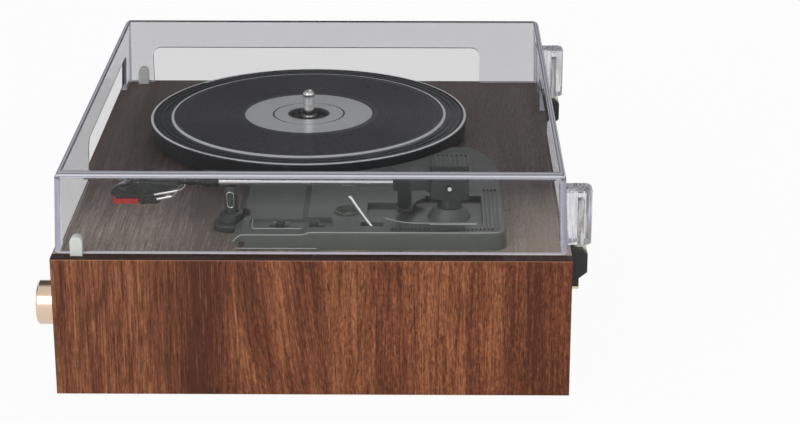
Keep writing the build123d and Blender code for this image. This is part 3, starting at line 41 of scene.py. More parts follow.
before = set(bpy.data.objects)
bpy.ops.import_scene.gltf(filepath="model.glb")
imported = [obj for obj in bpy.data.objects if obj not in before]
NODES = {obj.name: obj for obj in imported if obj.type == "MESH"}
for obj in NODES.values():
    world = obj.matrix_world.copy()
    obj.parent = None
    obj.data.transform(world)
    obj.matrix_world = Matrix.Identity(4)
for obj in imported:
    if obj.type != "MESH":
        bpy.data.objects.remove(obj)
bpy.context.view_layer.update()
MM = 0.001

# Places that the fine pieces are worked out from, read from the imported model
DECK_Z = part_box("deck_panel")[1].z
CASE_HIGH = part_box("side_panel_right")[1]
PLATTER_LOW, PLATTER_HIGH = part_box("platter")
PLATTER_CENTRE = (PLATTER_LOW + PLATTER_HIGH) / 2
PLATTER_R = (PLATTER_HIGH.x - PLATTER_LOW.x) / 2


# Settings that a user would change

COLOUR = {"subtype": "COLOR", "size": 3, "min": 0, "max": 1}


class VeneerSettings(bpy.types.PropertyGroup):
    """Colours and grain of the walnut veneer"""

    light: FloatVectorProperty(
        name="Light wood", description="Colour of the light growth bands",
        **COLOUR, default=(0.370, 0.150, 0.066))
    middle: FloatVectorProperty(
        name="Middle wood", description="Colour of most of the veneer",
        **COLOUR, default=(0.188, 0.063, 0.0285))
    dark: FloatVectorProperty(
        name="Dark wood", description="Colour of the dark growth bands",
        **COLOUR, default=(0.078, 0.0225, 0.0105))
    pore: FloatVectorProperty(
        name="Pore", description="Colour in the open pores",
        **COLOUR, default=(0.036, 0.0095, 0.0045))
    stretch: FloatProperty(
        name="Grain stretch", description="How much longer than wide the grain figure is",
        min=2, max=80, default=22)
    sheen_roughness: FloatProperty(
        name="Roughness", description="Roughness of the satin lacquer",
        subtype="FACTOR", min=0, max=1, default=0.50)
    deck_saturation: FloatProperty(
        name="Deck saturation", description="How much colour the deck's veneer has kept",
        subtype="FACTOR", min=0, max=1, default=0.42)
    deck_value: FloatProperty(
        name="Deck brightness", description="Brightness of the deck's veneer beside that of the sides",
        min=0, max=2, default=0.66)


class KnobSettings(bpy.types.PropertyGroup):
    """Finish of the turned volume knob"""

    colour: FloatVectorProperty(
        name="Brass", description="Colour of the rose brass",
        **COLOUR, default=(0.86, 0.655, 0.50))
    roughness: FloatProperty(
        name="Roughness", description="Roughness of the polished brass",
        subtype="FACTOR", min=0, max=1, default=0.16)


class PlatterSettings(bpy.types.PropertyGroup):
    """Ridges and tones of the platter and its mat"""

    ridge_pitch: FloatProperty(
        name="Ridge pitch", description="Distance between two ridges of the mat",
        subtype="DISTANCE", unit="LENGTH", min=0.0005, max=0.01, default=0.0021)
    ridge_depth: FloatProperty(
        name="Ridge depth", description="Depth of the grooves between the ridges",
        subtype="DISTANCE", unit="LENGTH", min=0.0001, max=0.001, default=0.00035)
    rubber: FloatVectorProperty(
        name="Mat", description="Colour of the ridged mat",
        **COLOUR, default=(0.014, 0.015, 0.018))
    centre: FloatVectorProperty(
        name="Label area", description="Colour of the smooth middle of the mat",
        **COLOUR, default=(0.70, 0.72, 0.725))
    # Colour of the painted highlights on the platter's and the mat's edge beads
    edge: FloatVectorProperty(
        name="Edge rings", description="Colour of the two fine rings at the mat's and the platter's edge",
        **COLOUR, default=(0.80, 0.81, 0.82))
    body: FloatVectorProperty(
        name="Platter", description="Colour of the moulded platter",
        **COLOUR, default=(0.011, 0.013, 0.015))


class ArmSettings(bpy.types.PropertyGroup):
    """Finish of the tonearm unit"""

    moulding: FloatVectorProperty(
        name="Moulding", description="Colour of the dark grey mouldings",
        **COLOUR, default=(0.029, 0.036, 0.029))
    red: FloatVectorProperty(
        name="Stylus holder", description="Colour of the red stylus holder",
        **COLOUR, default=(0.62, 0.055, 0.045))
    lead_radius: FloatProperty(
        name="Lead radius", description="Radius of the four thin leads behind the cartridge",
        subtype="DISTANCE", unit="LENGTH", min=0.0001, max=0.001, default=0.00032)


class LidSettings(bpy.types.PropertyGroup):
    """Clear lid and its soft stops"""

    tint: FloatVectorProperty(
        name="Tint", description="Faint smoke tint of the acrylic",
        **COLOUR, default=(0.93, 0.93, 0.945))
    clear: FloatVectorProperty(
        name="Clear", description="What one face of the coated acrylic lets through",
        **COLOUR, default=(0.864, 0.864, 0.868))
    gloss: FloatProperty(
        name="Reflection", description="Share of the bare acrylic's reflection that the coating leaves",
        subtype="FACTOR", min=0, max=1, default=0.3)
    bend: FloatProperty(
        name="Refractive index", description="Refractive index of the acrylic",
        min=1, max=2, default=1.49)
    # Colour of the painted reflection on the lid's rounded edges
    edge: FloatVectorProperty(
        name="Edge", description="Colour that the lid's rounded edges show",
        **COLOUR, default=(0.90, 0.90, 1.0))
    edge_radius: FloatProperty(
        name="Edge radius", description="Radius of the lid's rounded edges",
        subtype="DISTANCE", unit="LENGTH", min=0.0005, max=0.02, default=0.004)
    draft: FloatProperty(
        name="Draft", description="How far the lid's walls lean inward",
        subtype="ANGLE", unit="ROTATION", min=0, max=0.5, default=0.0349)
    stop: FloatVectorProperty(
        name="Stops", description="Colour of the translucent stops",
        **COLOUR, default=(0.90, 0.92, 0.90))


class StageSettings(bpy.types.PropertyGroup):
    """Camera, lamps and floor"""

    camera_place: FloatVectorProperty(
        name="Camera", description="Where the camera stands",
        subtype="TRANSLATION", unit="LENGTH", size=3, default=(1.2942, 0.0607, 0.5244))
    camera_turn: FloatProperty(
        name="Turn", description="Turn of the camera away from straight across the case",
        subtype="ANGLE", unit="ROTATION", default=0.0096)
    camera_tilt: FloatProperty(
        name="Tilt", description="How far the camera looks down",
        subtype="ANGLE", unit="ROTATION", default=0.3515)
    lens: FloatProperty(
        name="Lens", description="Focal length on a 36 mm wide sensor, in millimetres",
        min=10, max=400, default=100.67)
    key_power: FloatProperty(
        name="Main lamp", description="Power of the large lamp on the camera's side, in watts",
        min=0, max=500, default=15)
    fill_power: FloatProperty(
        name="Fill lamp", description="Power of the lamps that fill the other sides, in watts",
        min=0, max=500, default=6)
    room_light: FloatProperty(
        name="Room light", description="Brightness of the room's light near the horizon",
        min=0, max=2, default=0.85)
    far_side: FloatProperty(
        name="Far side", description="Brightness above the far side of the set, as gloss shows it",
        min=0, max=1, default=0.10)
    floor_half: FloatProperty(
        name="Floor", description="Half the width of the white floor",
        subtype="DISTANCE", unit="LENGTH", min=1, max=50, default=12)


class RecordPlayerSettings(bpy.types.PropertyGroup):
    """All settings of the record player"""

    veneer: PointerProperty(type=VeneerSettings)
    knob: PointerProperty(type=KnobSettings)
    platter: PointerProperty(type=PlatterSettings)
    arm: PointerProperty(type=ArmSettings)
    lid: PointerProperty(type=LidSettings)
    stage: PointerProperty(type=StageSettings)


# Joining shader nodes


def plug(value, socket):
    """Links a wire to a socket, or sets a plain value on it."""
    if isinstance(value, Wire):
        value.tree.links.new(value.socket, socket)
    elif socket.type == "RGBA":
        socket.default_value = (*value, 1)
    else:
        socket.default_value = value


def made(tree, kind, output, inputs=None, **options):
    """A new node with its options and inputs; gives one of its outputs."""
    node = tree.nodes.new("ShaderNode" + kind)
    for name, value in options.items():
        setattr(node, name, value)
    for name, value in (inputs or {}).items():
        plug(value, node.inputs[name])
    return Wire(node.outputs[output])


def worked(operation, *values):
    """One step of arithmetic on wires and plain numbers."""
    tree = next(value.tree for value in values if isinstance(value, Wire))
    return made(tree, "Math", "Value", dict(enumerate(values)), operation=operation)


def mixed(share, first, second, blend="MIX"):
    """Mixes two colours; each may be a wire or a plain colour."""
    tree = next(value.tree for value in (share, first, second) if isinstance(value, Wire))
    return made(tree, "Mix", 2, {0: share, 6: first, 7: second}, data_type="RGBA", blend_type=blend)


def blended(share, first, second):
    """Mixes two shaders."""
    return made(first.tree, "MixShader", "Shader", {0: share, 1: first, 2: second})


class Wire:
    """An output in a node tree; arithmetic and the methods below join more nodes to it."""

    def __init__(self, socket):
        self.socket = socket
        self.tree = socket.id_data

    def __add__(self, other):
        return worked("ADD", self, other)

    def __sub__(self, other):
        return worked("SUBTRACT", self, other)

    def __rsub__(self, other):
        return worked("SUBTRACT", other, self)

    def __mul__(self, other):
        return worked("MULTIPLY", self, other)

    def __abs__(self):
        return worked("ABSOLUTE", self)

    def spread(self, low, high, to_low, to_high):
        """Maps one range onto another and stops at its ends."""
        limits = {"From Min": low, "From Max": high, "To Min": to_low, "To Max": to_high}
        return made(self.tree, "MapRange", "Result", {"Value": self, **limits})

    def ramp(self, *stops):
        """Colour ramp; stops are (position, colour) or (position, grey)."""
        wire = made(self.tree, "ValToRGB", "Color", {"Fac": self})
        elements = wire.socket.node.color_ramp.elements
        while len(elements) < len(stops):
            elements.new(0.5)
        for element, (position, colour) in zip(elements, stops):
            element.position = position
            element.color = (*colour, 1) if hasattr(colour, "__len__") else (colour, colour, colour, 1)
        return wire

    def split(self):
        """The three parts of a place."""
        first = made(self.tree, "SeparateXYZ", 0, {"Vector": self})
        return tuple(Wire(socket) for socket in first.socket.node.outputs)

    def stretched(self, *scale):
        return made(self.tree, "Mapping", "Vector", {"Vector": self, "Scale": scale})

    def noise(self, scale, detail=2.0, roughness=0.5, distortion=0.0):
        inputs = {"Scale": scale, "Detail": detail, "Roughness": roughness, "Distortion": distortion}
        return made(self.tree, "TexNoise", "Fac", {"Vector": self, **inputs})

    def from_axis(self, centre, axis=2):
        """Distance of a place from the line through centre along the axis index."""
        keep = [0.0 if index == axis else 1.0 for index in range(3)]
        shift = [-value * flag for value, flag in zip(centre, keep)]
        inputs = {0: self, 1: keep, 2: shift}
        flat = made(self.tree, "VectorMath", "Vector", inputs, operation="MULTIPLY_ADD")
        return made(self.tree, "VectorMath", "Value", {0: flat}, operation="LENGTH")

    def rings(self, centre, axis, pitch):
        """Waves round an axis, with their pitch in millimetres."""
        return worked("SINE", self.from_axis(centre, axis) * (2 * pi / (pitch * MM)))


class Finish:
    """A new material with a Principled shader; bump distances and edge radii are in millimetres."""

    def __init__(self, name, colour, roughness, metallic=0.0):
        self.material = bpy.data.materials.new(name)
        self.material.use_nodes = True
        self.tree = self.material.node_tree
        self.shader = self.tree.nodes["Principled BSDF"]
        self.main = Wire(self.shader.outputs["BSDF"])
        self.place = made(self.tree, "TexCoord", "Object")
        self.set("Base Color", colour)
        self.set("Roughness", roughness)
        self.set("Metallic", metallic)

    def set(self, name, value):
        plug(value, self.shader.inputs[name])

    def show(self, shader):
        """Puts a shader in the place of the plain one."""
        plug(shader, self.tree.nodes["Material Output"].inputs["Surface"])

    def lobe(self, kind, **inputs):
        return made(self.tree, "Bsdf" + kind, "BSDF", inputs)

    def ray(self, name):
        return made(self.tree, "LightPath", name)

    def noise(self, *values):
        return self.place.noise(*values)

    def raised(self, height, strength, distance):
        """Bump from a height; a second call adds to the first."""
        inputs = {"Strength": strength, "Distance": distance * MM, "Height": height}
        for earlier in self.shader.inputs["Normal"].links:
            inputs["Normal"] = Wire(earlier.from_socket)
        self.set("Normal", made(self.tree, "Bump", "Normal", inputs))

    def edges(self, radius, soften=True):
        """Where the hard edges are; softens them in the shading, as a moulding tool leaves them."""
        rounded = made(self.tree, "Bevel", "Normal", {"Radius": radius * MM}, samples=8)
        if soften:
            self.set("Normal", rounded)
        flat = made(self.tree, "NewGeometry", "Normal")
        alike = made(self.tree, "VectorMath", "Value", {0: rounded, 1: flat}, operation="DOT_PRODUCT")
        return alike.spread(0.95, 0.82, 0, 1)

    def paint_shade_on_side(self, axis, low, high, share):
        """Paints shade on the low side of one axis: darker towards that side."""
        tone = Wire(self.shader.inputs["Base Color"].links[0].from_socket)
        depth = self.place.split()[axis].spread(low, high, share, 0)
        self.set("Base Color", mixed(depth, tone, (0.006, 0.007, 0.007)))


# Finishes

# Broad growth bands of the veneer: place across the grain, half width, how much darker
GROWTH_BANDS = (
    (-0.118, 0.012, 0.10), (-0.063, 0.018, 0.85), (-0.030, 0.010, 0.24), (-0.002, 0.006, 0.66),
    (0.013, 0.009, -0.30), (0.040, 0.011, 0.22), (0.078, 0.020, -0.14), (0.110, 0.010, 0.12),
    (0.136, 0.012, 0.30),
)
STEEL = (0.62, 0.61, 0.58)


def walnut(name, settings, along, across, fold=0.0, deck=False):
    """Veneer whose grain runs along one axis; fold is where the sheet turns over an edge."""
    veneer = Finish(name, settings.middle, settings.sheen_roughness)
    veneer.set("Specular IOR Level", 0.22)
    parts = veneer.place.split()
    run, side = fold - parts[along], parts[across]
    # The grain leans in one strip, centred at -12 mm across the grain
    lean = abs(side + 12 * MM).spread(12 * MM, 34 * MM, -0.13, 0)
    sheet = made(veneer.tree, "CombineXYZ", "Vector", {"X": run, "Y": side + run * lean})

    def figure(scale, aspect, detail, roughness=0.5, distortion=0.0):
        return sheet.stretched(1 / aspect, 1, 1).noise(scale, detail, roughness, distortion)

    position = side + figure(30, 14, 2).spread(0, 1, -0.008, 0.008)
    band = figure(46, settings.stretch, 3, 0.55, 0.3)
    for centre, half, depth in GROWTH_BANDS:
        band = band - abs(position - centre).spread(0, 1.6 * half, depth * 0.42, 0)
    streak = figure(330, settings.stretch, 5, 0.62, 0.5)
    fleck = figure(860, 3.4, 3, 0.6, 0.7)
    thread = figure(1150, 34, 3, 0.6)
    to_right = side.spread(-0.06, 0.02, 0, 1)
    hairline = worked("SINE", figure(17, 26, 1) * 150).spread(0.90, 0.995, 0, 1)
    pores = figure(1500, 16, 2).ramp((0.34, 1.0), (0.44, 0.0))

    tone = band * 0.62 + streak * 0.62 + fleck * to_right.spread(0, 1, 0.36, 0.66)
    tone = tone + thread * to_right.spread(0, 1, 0.62, 0.26) - 0.53
    wood = tone.ramp((0.385, settings.dark), (0.56, settings.middle), (0.74, settings.light))
    redder = mixed(1.0, wood, (1.10, 0.78, 0.58), "MULTIPLY")
    wood = mixed(position.spread(-0.14, 0.14, 0, 0.30), wood, redder)
    wood = mixed(hairline * 0.42, wood, settings.dark)
    wood = mixed(pores * 0.58, wood, settings.pore)
    if deck:
        wood = deck_tone_and_painted_light(settings, wood, tone, parts[along], side)
    else:
        # Lighter line just under the deck's height along the top edge: a painted highlight on that edge
        painted_edge_highlight = parts[2].spread(DECK_Z - 1.1 * MM, DECK_Z - 0.5 * MM, 0, 0.45)
        wood = mixed(painted_edge_highlight, wood, (0.42, 0.24, 0.17))
    veneer.set("Base Color", wood)
    rough = settings.sheen_roughness
    veneer.set("Roughness", streak.spread(0.3, 0.7, rough - 0.08, rough + 0.1))
    veneer.raised(fleck - pores, 0.6, 0.35)
    return veneer


def deck_tone_and_painted_light(settings, wood, tone, along, side):
    """The deck's greyer veneer: painted shade makes it darker and greyer towards the far side, painted
    light makes it pale under the near wall, and a painted shadow of the lid darkens the strip outside the
    lid.
    """
    inputs = {"Saturation": settings.deck_saturation, "Value": settings.deck_value, "Color": wood}
    wood = made(wood.tree, "HueSaturation", "Color", inputs)
    # Darker and greyer towards the far side: painted shade
    wood = mixed(along.spread(-0.06, 0.08, 0.6, 0.1), wood, (0.086, 0.062, 0.054))
    # Paler wood towards the near wall, and more so at the right: painted light
    dust_and_painted_light = along.spread(0.045, 0.120, 0, 0.80)
    wood = mixed(dust_and_painted_light, wood, tone.ramp(
        (0.38, (0.235, 0.186, 0.150)), (0.54, (0.425, 0.346, 0.284)), (0.70, (0.620, 0.516, 0.430))))
    wood = mixed(dust_and_painted_light * side.spread(0.090, 0.125, 0, 0.6), wood, (0.66, 0.52, 0.41))
    # Dark strip outside the lid: a painted shadow of the lid
    painted_lid_shadow = along.spread(CASE_HIGH.x - 8.6 * MM, CASE_HIGH.x - 8.0 * MM, 0, 1)
    return mixed(painted_lid_shadow, wood, (0.040, 0.0165, 0.0115))


def moulding(name, colour, roughness=0.42, grain=2600, depth=0.004, edge=0.0, rub_and_edge_highlight=0.19):
    """Moulded plastic with a fine spark-eroded grain, uneven gloss and a painted highlight along its
    edges.
    """
    plastic = Finish(name, colour, roughness)
    cloud = plastic.noise(55, 3, 0.6)
    plastic.set("Roughness", cloud.spread(0.3, 0.7, roughness - 0.07, roughness + 0.07))
    darker = [value * 0.82 for value in colour]
    brighter = [min(1.0, value * 1.16) for value in colour]
    tone = mixed(plastic.noise(130, 4, 0.6), darker, brighter)
    if edge:
        # Paler colour along the hard edges: a painted highlight where light would catch the rounded edges
        tone = mixed(plastic.edges(edge) * 0.75, tone, [value * 0.75 + rub_and_edge_highlight for value in colour])
    plastic.set("Base Color", tone)
    plastic.raised(plastic.noise(grain, 3, 0.6), 0.5, depth)
    return plastic


def metal(name, colour, roughness, centre=None, axis=2, lines=0.0):
    """Metal with faint polishing marks, and turning lines where it has a centre."""
    plate = Finish(name, colour, roughness, 1.0)
    rub_and_edge_highlight = plate.place.stretched(1, 1, 6).noise(700, 3, 0.6)
    plate.set("Roughness", rub_and_edge_highlight.spread(0.3, 0.7, roughness * 0.7, roughness * 1.35))
    plate.set("Base Color", mixed(plate.noise(90, 3, 0.6), [value * 0.93 for value in colour], colour))
    plate.raised(rub_and_edge_highlight, 0.4, 0.004)
    if centre is not None:
        plate.raised(plate.place.rings(centre, axis, lines), 0.25, 0.01)
    return plate


def rubber(name, colour, roughness=0.75, grain=1500):
    """Dull rubber with a little dust on it."""
    soft = Finish(name, colour, roughness)
    pale = [min(1.0, value + 0.02) for value in colour]
    soft.set("Base Color", mixed(soft.noise(240, 4, 0.65).spread(0.45, 0.8, 0, 1), colour, pale))
    soft.raised(soft.noise(grain, 2), 0.5, 0.04)
    return soft


# Painted reflection on the lid's rounded edges: its tone from the wall's side (0) to the top (1)
EDGE_TONES = (
    (0.28, 0.30), (0.34, 0.42), (0.42, 0.82), (0.50, 0.78), (0.58, 0.22), (0.66, 0.30),
    (0.78, 0.60), (0.86, 0.54), (0.95, 0.13),
)


def acrylic(name, settings, box=None):
    """Clear acrylic that lets light through to what is behind it; a box gives it painted reflections on
    its rounded edges and lower rim, and without a box it gets painted pale stripes and edges.
    """
    clear = Finish(name, settings.tint, 0.0)
    clear.set("Transmission Weight", 1.0)
    clear.set("IOR", settings.bend)
    bent = clear.lobe("Refraction", Color=settings.clear, Roughness=0.0, IOR=settings.bend)
    glass = blended(settings.gloss if box else 1.0, bent, clear.main)
    if box:
        share, tone = lid_edges(clear.place, settings, *box)
    else:
        # Pale stripes and edges on the hinge sockets: painted reflections
        stripes = clear.place.stretched(1, 1, 0.06).noise(900, 3, 0.6)
        share = worked("MAXIMUM", stripes.spread(0.42, 0.60, 0.10, 0.66), clear.edges(0.5, soften=False))
        tone = stripes.ramp((0.40, 0.35), (0.60, 0.85))
    # Diffuse lobe that paints pale edge reflections into the clear acrylic
    pale = clear.lobe("Diffuse", Color=mixed(1.0, tone, settings.edge, "MULTIPLY"))
    passing = clear.lobe("Transparent", Color=(0.90, 0.90, 0.91))
    lets_light = worked("MAXIMUM", clear.ray("Is Shadow Ray"), clear.ray("Is Diffuse Ray"))
    clear.show(blended(lets_light, blended(share, glass, pale), passing))
    return clear


def lid_edges(place, settings, low, high):
    """Where the lid's rounded edges and lower rim are, and the tone of the painted reflection on them."""
    x, y, z = place.split()
    radius = settings.edge_radius
    lean = (z - low.z) * tan(settings.draft)
    ahead, beside = (
        (far - near) / 2 - (abs(value - (near + far) / 2) + lean)
        for value, near, far in ((x, low.x, high.x), (y, low.y, high.y))
    )
    over = high.z - z
    wall = worked("MINIMUM", ahead, beside)
    top_edge = worked("MAXIMUM", wall, over).spread(radius, 0.9 * radius, 0, 1)
    corner = worked("MAXIMUM", ahead, beside).spread(radius, 0.8 * radius, 0, 0.68)
    # Bright line along the lower rim: a painted highlight
    rim = abs(z - (low.z + 1.2 * MM)).spread(0.42 * MM, 0.28 * MM, 0, 0.88)
    across = (wall - over).spread(-radius, radius, 0, 1)
    tone = mixed(top_edge, (0.60, 0.60, 0.66), across.ramp(*EDGE_TONES))
    tone = mixed(rim, tone, (0.78, 0.76, 0.75))
    seen = top_edge * across.spread(0.22, 0.34, 0.10, 0.90)
    return worked("MAXIMUM", worked("MAXIMUM", seen, corner), rim), tone


def dress(finish, *names):
    """Gives CAD nodes a finish."""
    for name in names:
        slots = NODES[name].data.materials
        slots.clear()
        slots.append(finish.material)


# Making and placing pieces


def placed(name, data, finish, body, spot=(0, 0, 0)):
    """An object with its finish, riding on a CAD body."""
    data.materials.append(finish.material)
    piece = bpy.data.objects.new(name, data)
    piece.location = spot
    bpy.context.scene.collection.objects.link(piece)
    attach(piece, body)
    return piece


def make_piece(name, mesh, finish, body, smooth=35):
    """A piece from a bmesh."""
    data = bpy.data.meshes.new(name)
    bmesh.ops.recalc_face_normals(mesh, faces=mesh.faces)
    mesh.to_mesh(data)
    mesh.free()
    for polygon in data.polygons:
        polygon.use_smooth = True
    data.set_sharp_from_angle(angle=radians(smooth))
    return placed(name, data, finish, body)


def turned(profile, centre, segments=192):
    """Closed ring from a closed (radius, height) profile turned about an upright axis."""
    mesh = bmesh.new()
    rings = []
    for step in range(segments):
        angle = 2 * pi * step / segments
        rings.append([
            mesh.verts.new((centre.x + radius * cos(angle), centre.y + radius * sin(angle), height))
            for radius, height in profile
        ])
    count = len(profile)
    for step in range(segments):
        here, after = rings[step], rings[(step + 1) % segments]
        for index in range(count):
            following = (index + 1) % count
            mesh.faces.new((here[index], after[index], after[following], here[following]))
    return mesh


def in_mm(profile, lift=0.0):
    """A (radius, height) profile from millimetres, raised by a height in metres."""
    return [(radius * MM, lift + height * MM) for radius, height in profile]


def prism(mesh, corners, shift):
    """Adds a closed prism between a flat outline and its shifted copy."""
    first = [mesh.verts.new(Vector(corner)) for corner in corners]
    second = [mesh.verts.new(Vector(corner) + Vector(shift)) for corner in corners]
    mesh.faces.new(first)
    mesh.faces.new(second[::-1])
    for index in range(len(corners)):
        after = (index + 1) % len(corners)
        mesh.faces.new((first[index], second[index], second[after], first[after]))


def laid_back(mesh, centre):
    """Turns upright rings so that their axis runs to the rear from a centre."""
    for vertex in mesh.verts:
        x, y, z = vertex.co
        vertex.co = (centre.x + x, centre.y + z, centre.z + y)
    return mesh


def tube_piece(name, points, radius, finish, body):
    """A thin round lead or rod along smooth points."""
    curve = bpy.data.curves.new(name, "CURVE")
    curve.dimensions = "3D"
    curve.bevel_depth = radius
    curve.bevel_resolution = 3
    curve.use_fill_caps = True
    spline = curve.splines.new("NURBS")
    spline.points.add(len(points) - 1)
    for point, place in zip(spline.points, points):
        point.co = (*place, 1)
    spline.order_u = 3
    spline.use_endpoint_u = True
    return placed(name, curve, finish, body)


def surface_below(node, x, y):
    """Height of a CAD node's upper surface under a point."""
    hit, place, _, _ = NODES[node].ray_cast((x, y, 1), (0, 0, -1))
    if not hit:
        raise RuntimeError(f"{node} has nothing under {x:.4f}, {y:.4f}")
    return place.z


# One operator for each piece or group of like pieces, and one for the stage


class PLAYER_OT_case(bpy.types.Operator):
    """Walnut veneer on deck, sides and front, stained rear board, raw corner blocks"""

    bl_idname = "player.case"
    bl_label = "Case"

    def execute(self, context):
        settings = context.scene.record_player.veneer
        dress(walnut("walnut_deck", settings, 0, 1, CASE_HIGH.x, deck=True), "deck_panel")
        dress(walnut("walnut_side", settings, 2, 1, DECK_Z), "side_panel_right", "side_panel_left")
        dress(walnut("walnut_front", settings, 0, 2), "front_panel")
        dress(moulding("rear_board", (0.030, 0.022, 0.018), 0.55, 900, 0.05), "rear_panel")
        softwood = Finish("raw_softwood", (0.52, 0.37, 0.21), 0.7)
        grain = softwood.place.stretched(1, 1, 0.06).noise(420, 4, 0.6, 0.4)
        softwood.set("Base Color", grain.ramp((0.3, (0.40, 0.26, 0.13)), (0.7, (0.60, 0.45, 0.27))))
        softwood.raised(grain, 0.3, 0.1)
        dress(softwood, "corner_blocks")
        return {"FINISHED"}


class PLAYER_OT_underside(bpy.types.Operator):
    """Moulded bottom cover, its screws and the rubber feet"""

    bl_idname = "player.underside"
    bl_label = "Underside"

    def execute(self, context):
        dress(moulding("cover_moulding", (0.020, 0.020, 0.022), 0.5, 1600, 0.06), "bottom_cover")
        dress(metal("cover_screw_steel", STEEL, 0.34), "bottom_screws")
        feet = [name for name in NODES if name.startswith("foot_")]
        dress(rubber("foot_rubber", (0.022, 0.022, 0.022)), *feet)
        return {"FINISHED"}


class PLAYER_OT_speakers(bpy.types.Operator):
    """Painted baskets and pressed paper cones"""

    bl_idname = "player.speakers"
    bl_label = "Loudspeakers"

    def execute(self, context):
        for side in ("left", "right"):
            low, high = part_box(f"speaker_{side}")
            dress(moulding(f"basket_paint_{side}", (0.025, 0.025, 0.027), 0.5), f"speaker_{side}")
            paper = Finish(f"cone_paper_{side}", (0.05, 0.05, 0.052), 0.85)
            fibre = paper.noise(1400, 4, 0.7)
            paper.set("Base Color", fibre.ramp((0.3, 0.03), (0.8, 0.085)))
            paper.raised(fibre, 0.5, 0.05)
            paper.raised(paper.place.rings((low + high) / 2, 1, 2.4), 0.4, 0.15)
            dress(paper, f"speaker_cone_{side}")
        return {"FINISHED"}


class PLAYER_OT_knob(bpy.types.Operator):
    """Turned brass volume knob, its shaft and the control behind the front"""

    bl_idname = "player.knob"
    bl_label = "Volume knob"

    def execute(self, context):
        settings = context.scene.record_player.knob
        low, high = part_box("volume_knob")
        brass = metal("knob_brass", settings.colour, settings.roughness, (low + high) / 2, 1, 0.35)
        dress(brass, "volume_knob")
        dress(metal("shaft_steel", STEEL, 0.3), "knob_shaft")
        dress(moulding("control_moulding", (0.04, 0.035, 0.03), 0.45), "volume_control")
        return {"FINISHED"}


class PLAYER_OT_sockets(bpy.types.Operator):
    """Socket plate with phono, headphone and power sockets, and the amplifier board"""

    bl_idname = "player.sockets"
    bl_label = "Rear sockets"

    def execute(self, context):
        dress(moulding("plate_moulding", (0.022, 0.022, 0.024), 0.48, edge=0.2), "jack_plate")
        dress(metal("socket_plate", (0.83, 0.74, 0.50), 0.2), "phono_sockets")
        dress(moulding("socket_moulding", (0.018, 0.018, 0.020), 0.35), "headphone_socket", "power_inlet")
        board = Finish("board_lacquer", (0.02, 0.12, 0.05), 0.35)
        cells = {"Scale": 260, "Vector": board.place}
        tracks = made(board.tree, "TexVoronoi", "Distance", cells, distance="MANHATTAN")
        tracks = tracks.ramp((0.30, 1.0), (0.36, 0.0))
        board.set("Base Color", mixed(tracks, (0.015, 0.10, 0.045), (0.05, 0.20, 0.08)))
        board.raised(tracks, 0.3, 0.05)
        dress(board, "main_board")
        self.add_rings()
        return {"FINISHED"}

    def add_rings(self):
        """Red and white insulator rings round the two phono sockets."""
        low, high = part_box("phono_sockets")
        plate_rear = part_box("jack_plate")[1].y
        middle = (low + high) / 2
        spacing = (high.x - low.x - (high.z - low.z)) / 2
        profile = [(4.3, 0.1), (4.3, 1.0), (4.6, 1.3), (5.5, 1.3), (5.9, 0.9), (5.9, 0.1)]
        for side, turn, shade in (("left", -1, (0.80, 0.80, 0.78)), ("right", 1, (0.55, 0.03, 0.025))):
            centre = Vector((middle.x + turn * spacing, plate_rear, middle.z))
            mesh = laid_back(turned(in_mm(profile), Vector(), 96), centre)
            make_piece(f"phono_ring_{side}", mesh, moulding(f"ring_{side}_moulding", shade, 0.35),
                       "case")


class PLAYER_OT_drive(bpy.types.Operator):
    """Motor, pulley, belt and bearing"""

    bl_idname = "player.drive"
    bl_label = "Drive"

    def execute(self, context):
        dress(metal("drive_steel", (0.60, 0.59, 0.57), 0.32), "motor", "motor_screws", "bearing_housing")
        low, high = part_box("motor_pulley")
        dress(metal("pulley_brass", (0.75, 0.60, 0.30), 0.2, (low + high) / 2, 2, 0.3), "motor_pulley")
        dress(rubber("belt_rubber", (0.018, 0.018, 0.018), 0.6, 4000), "drive_belt")
        return {"FINISHED"}


class PLAYER_OT_platter(bpy.types.Operator):
    """Moulded platter with a painted highlight on its edge bead, hub and spindle"""

    bl_idname = "player.platter"
    bl_label = "Platter"

    def execute(self, context):
        settings = context.scene.record_player.platter
        body = Finish("platter_moulding", settings.body, 0.5)
        # Pale ring round the top of the platter's rim: a painted highlight
        outside = worked("GREATER_THAN", body.place.from_axis(PLATTER_CENTRE), PLATTER_R - 1.7 * MM)
        painted_rim_highlight = outside * worked("GREATER_THAN", body.place.split()[2], PLATTER_HIGH.z - 0.5 * MM)
        body.set("Base Color", mixed(painted_rim_highlight, settings.body, settings.edge))
        body.set("Roughness", body.noise(60, 3).spread(0.3, 0.7, 0.42, 0.56))
        body.raised(body.noise(1900, 2), 0.4, 0.01)
        dress(body, "platter")
        dress(moulding("hub_moulding", (0.012, 0.012, 0.013), 0.3), "platter_hub")
        dress(metal("spindle_steel", (0.86, 0.85, 0.83), 0.10, PLATTER_CENTRE, 2, 0.2), "spindle")
        dress(metal("clip_steel", (0.55, 0.54, 0.52), 0.35), "spindle_clip")
        return {"FINISHED"}


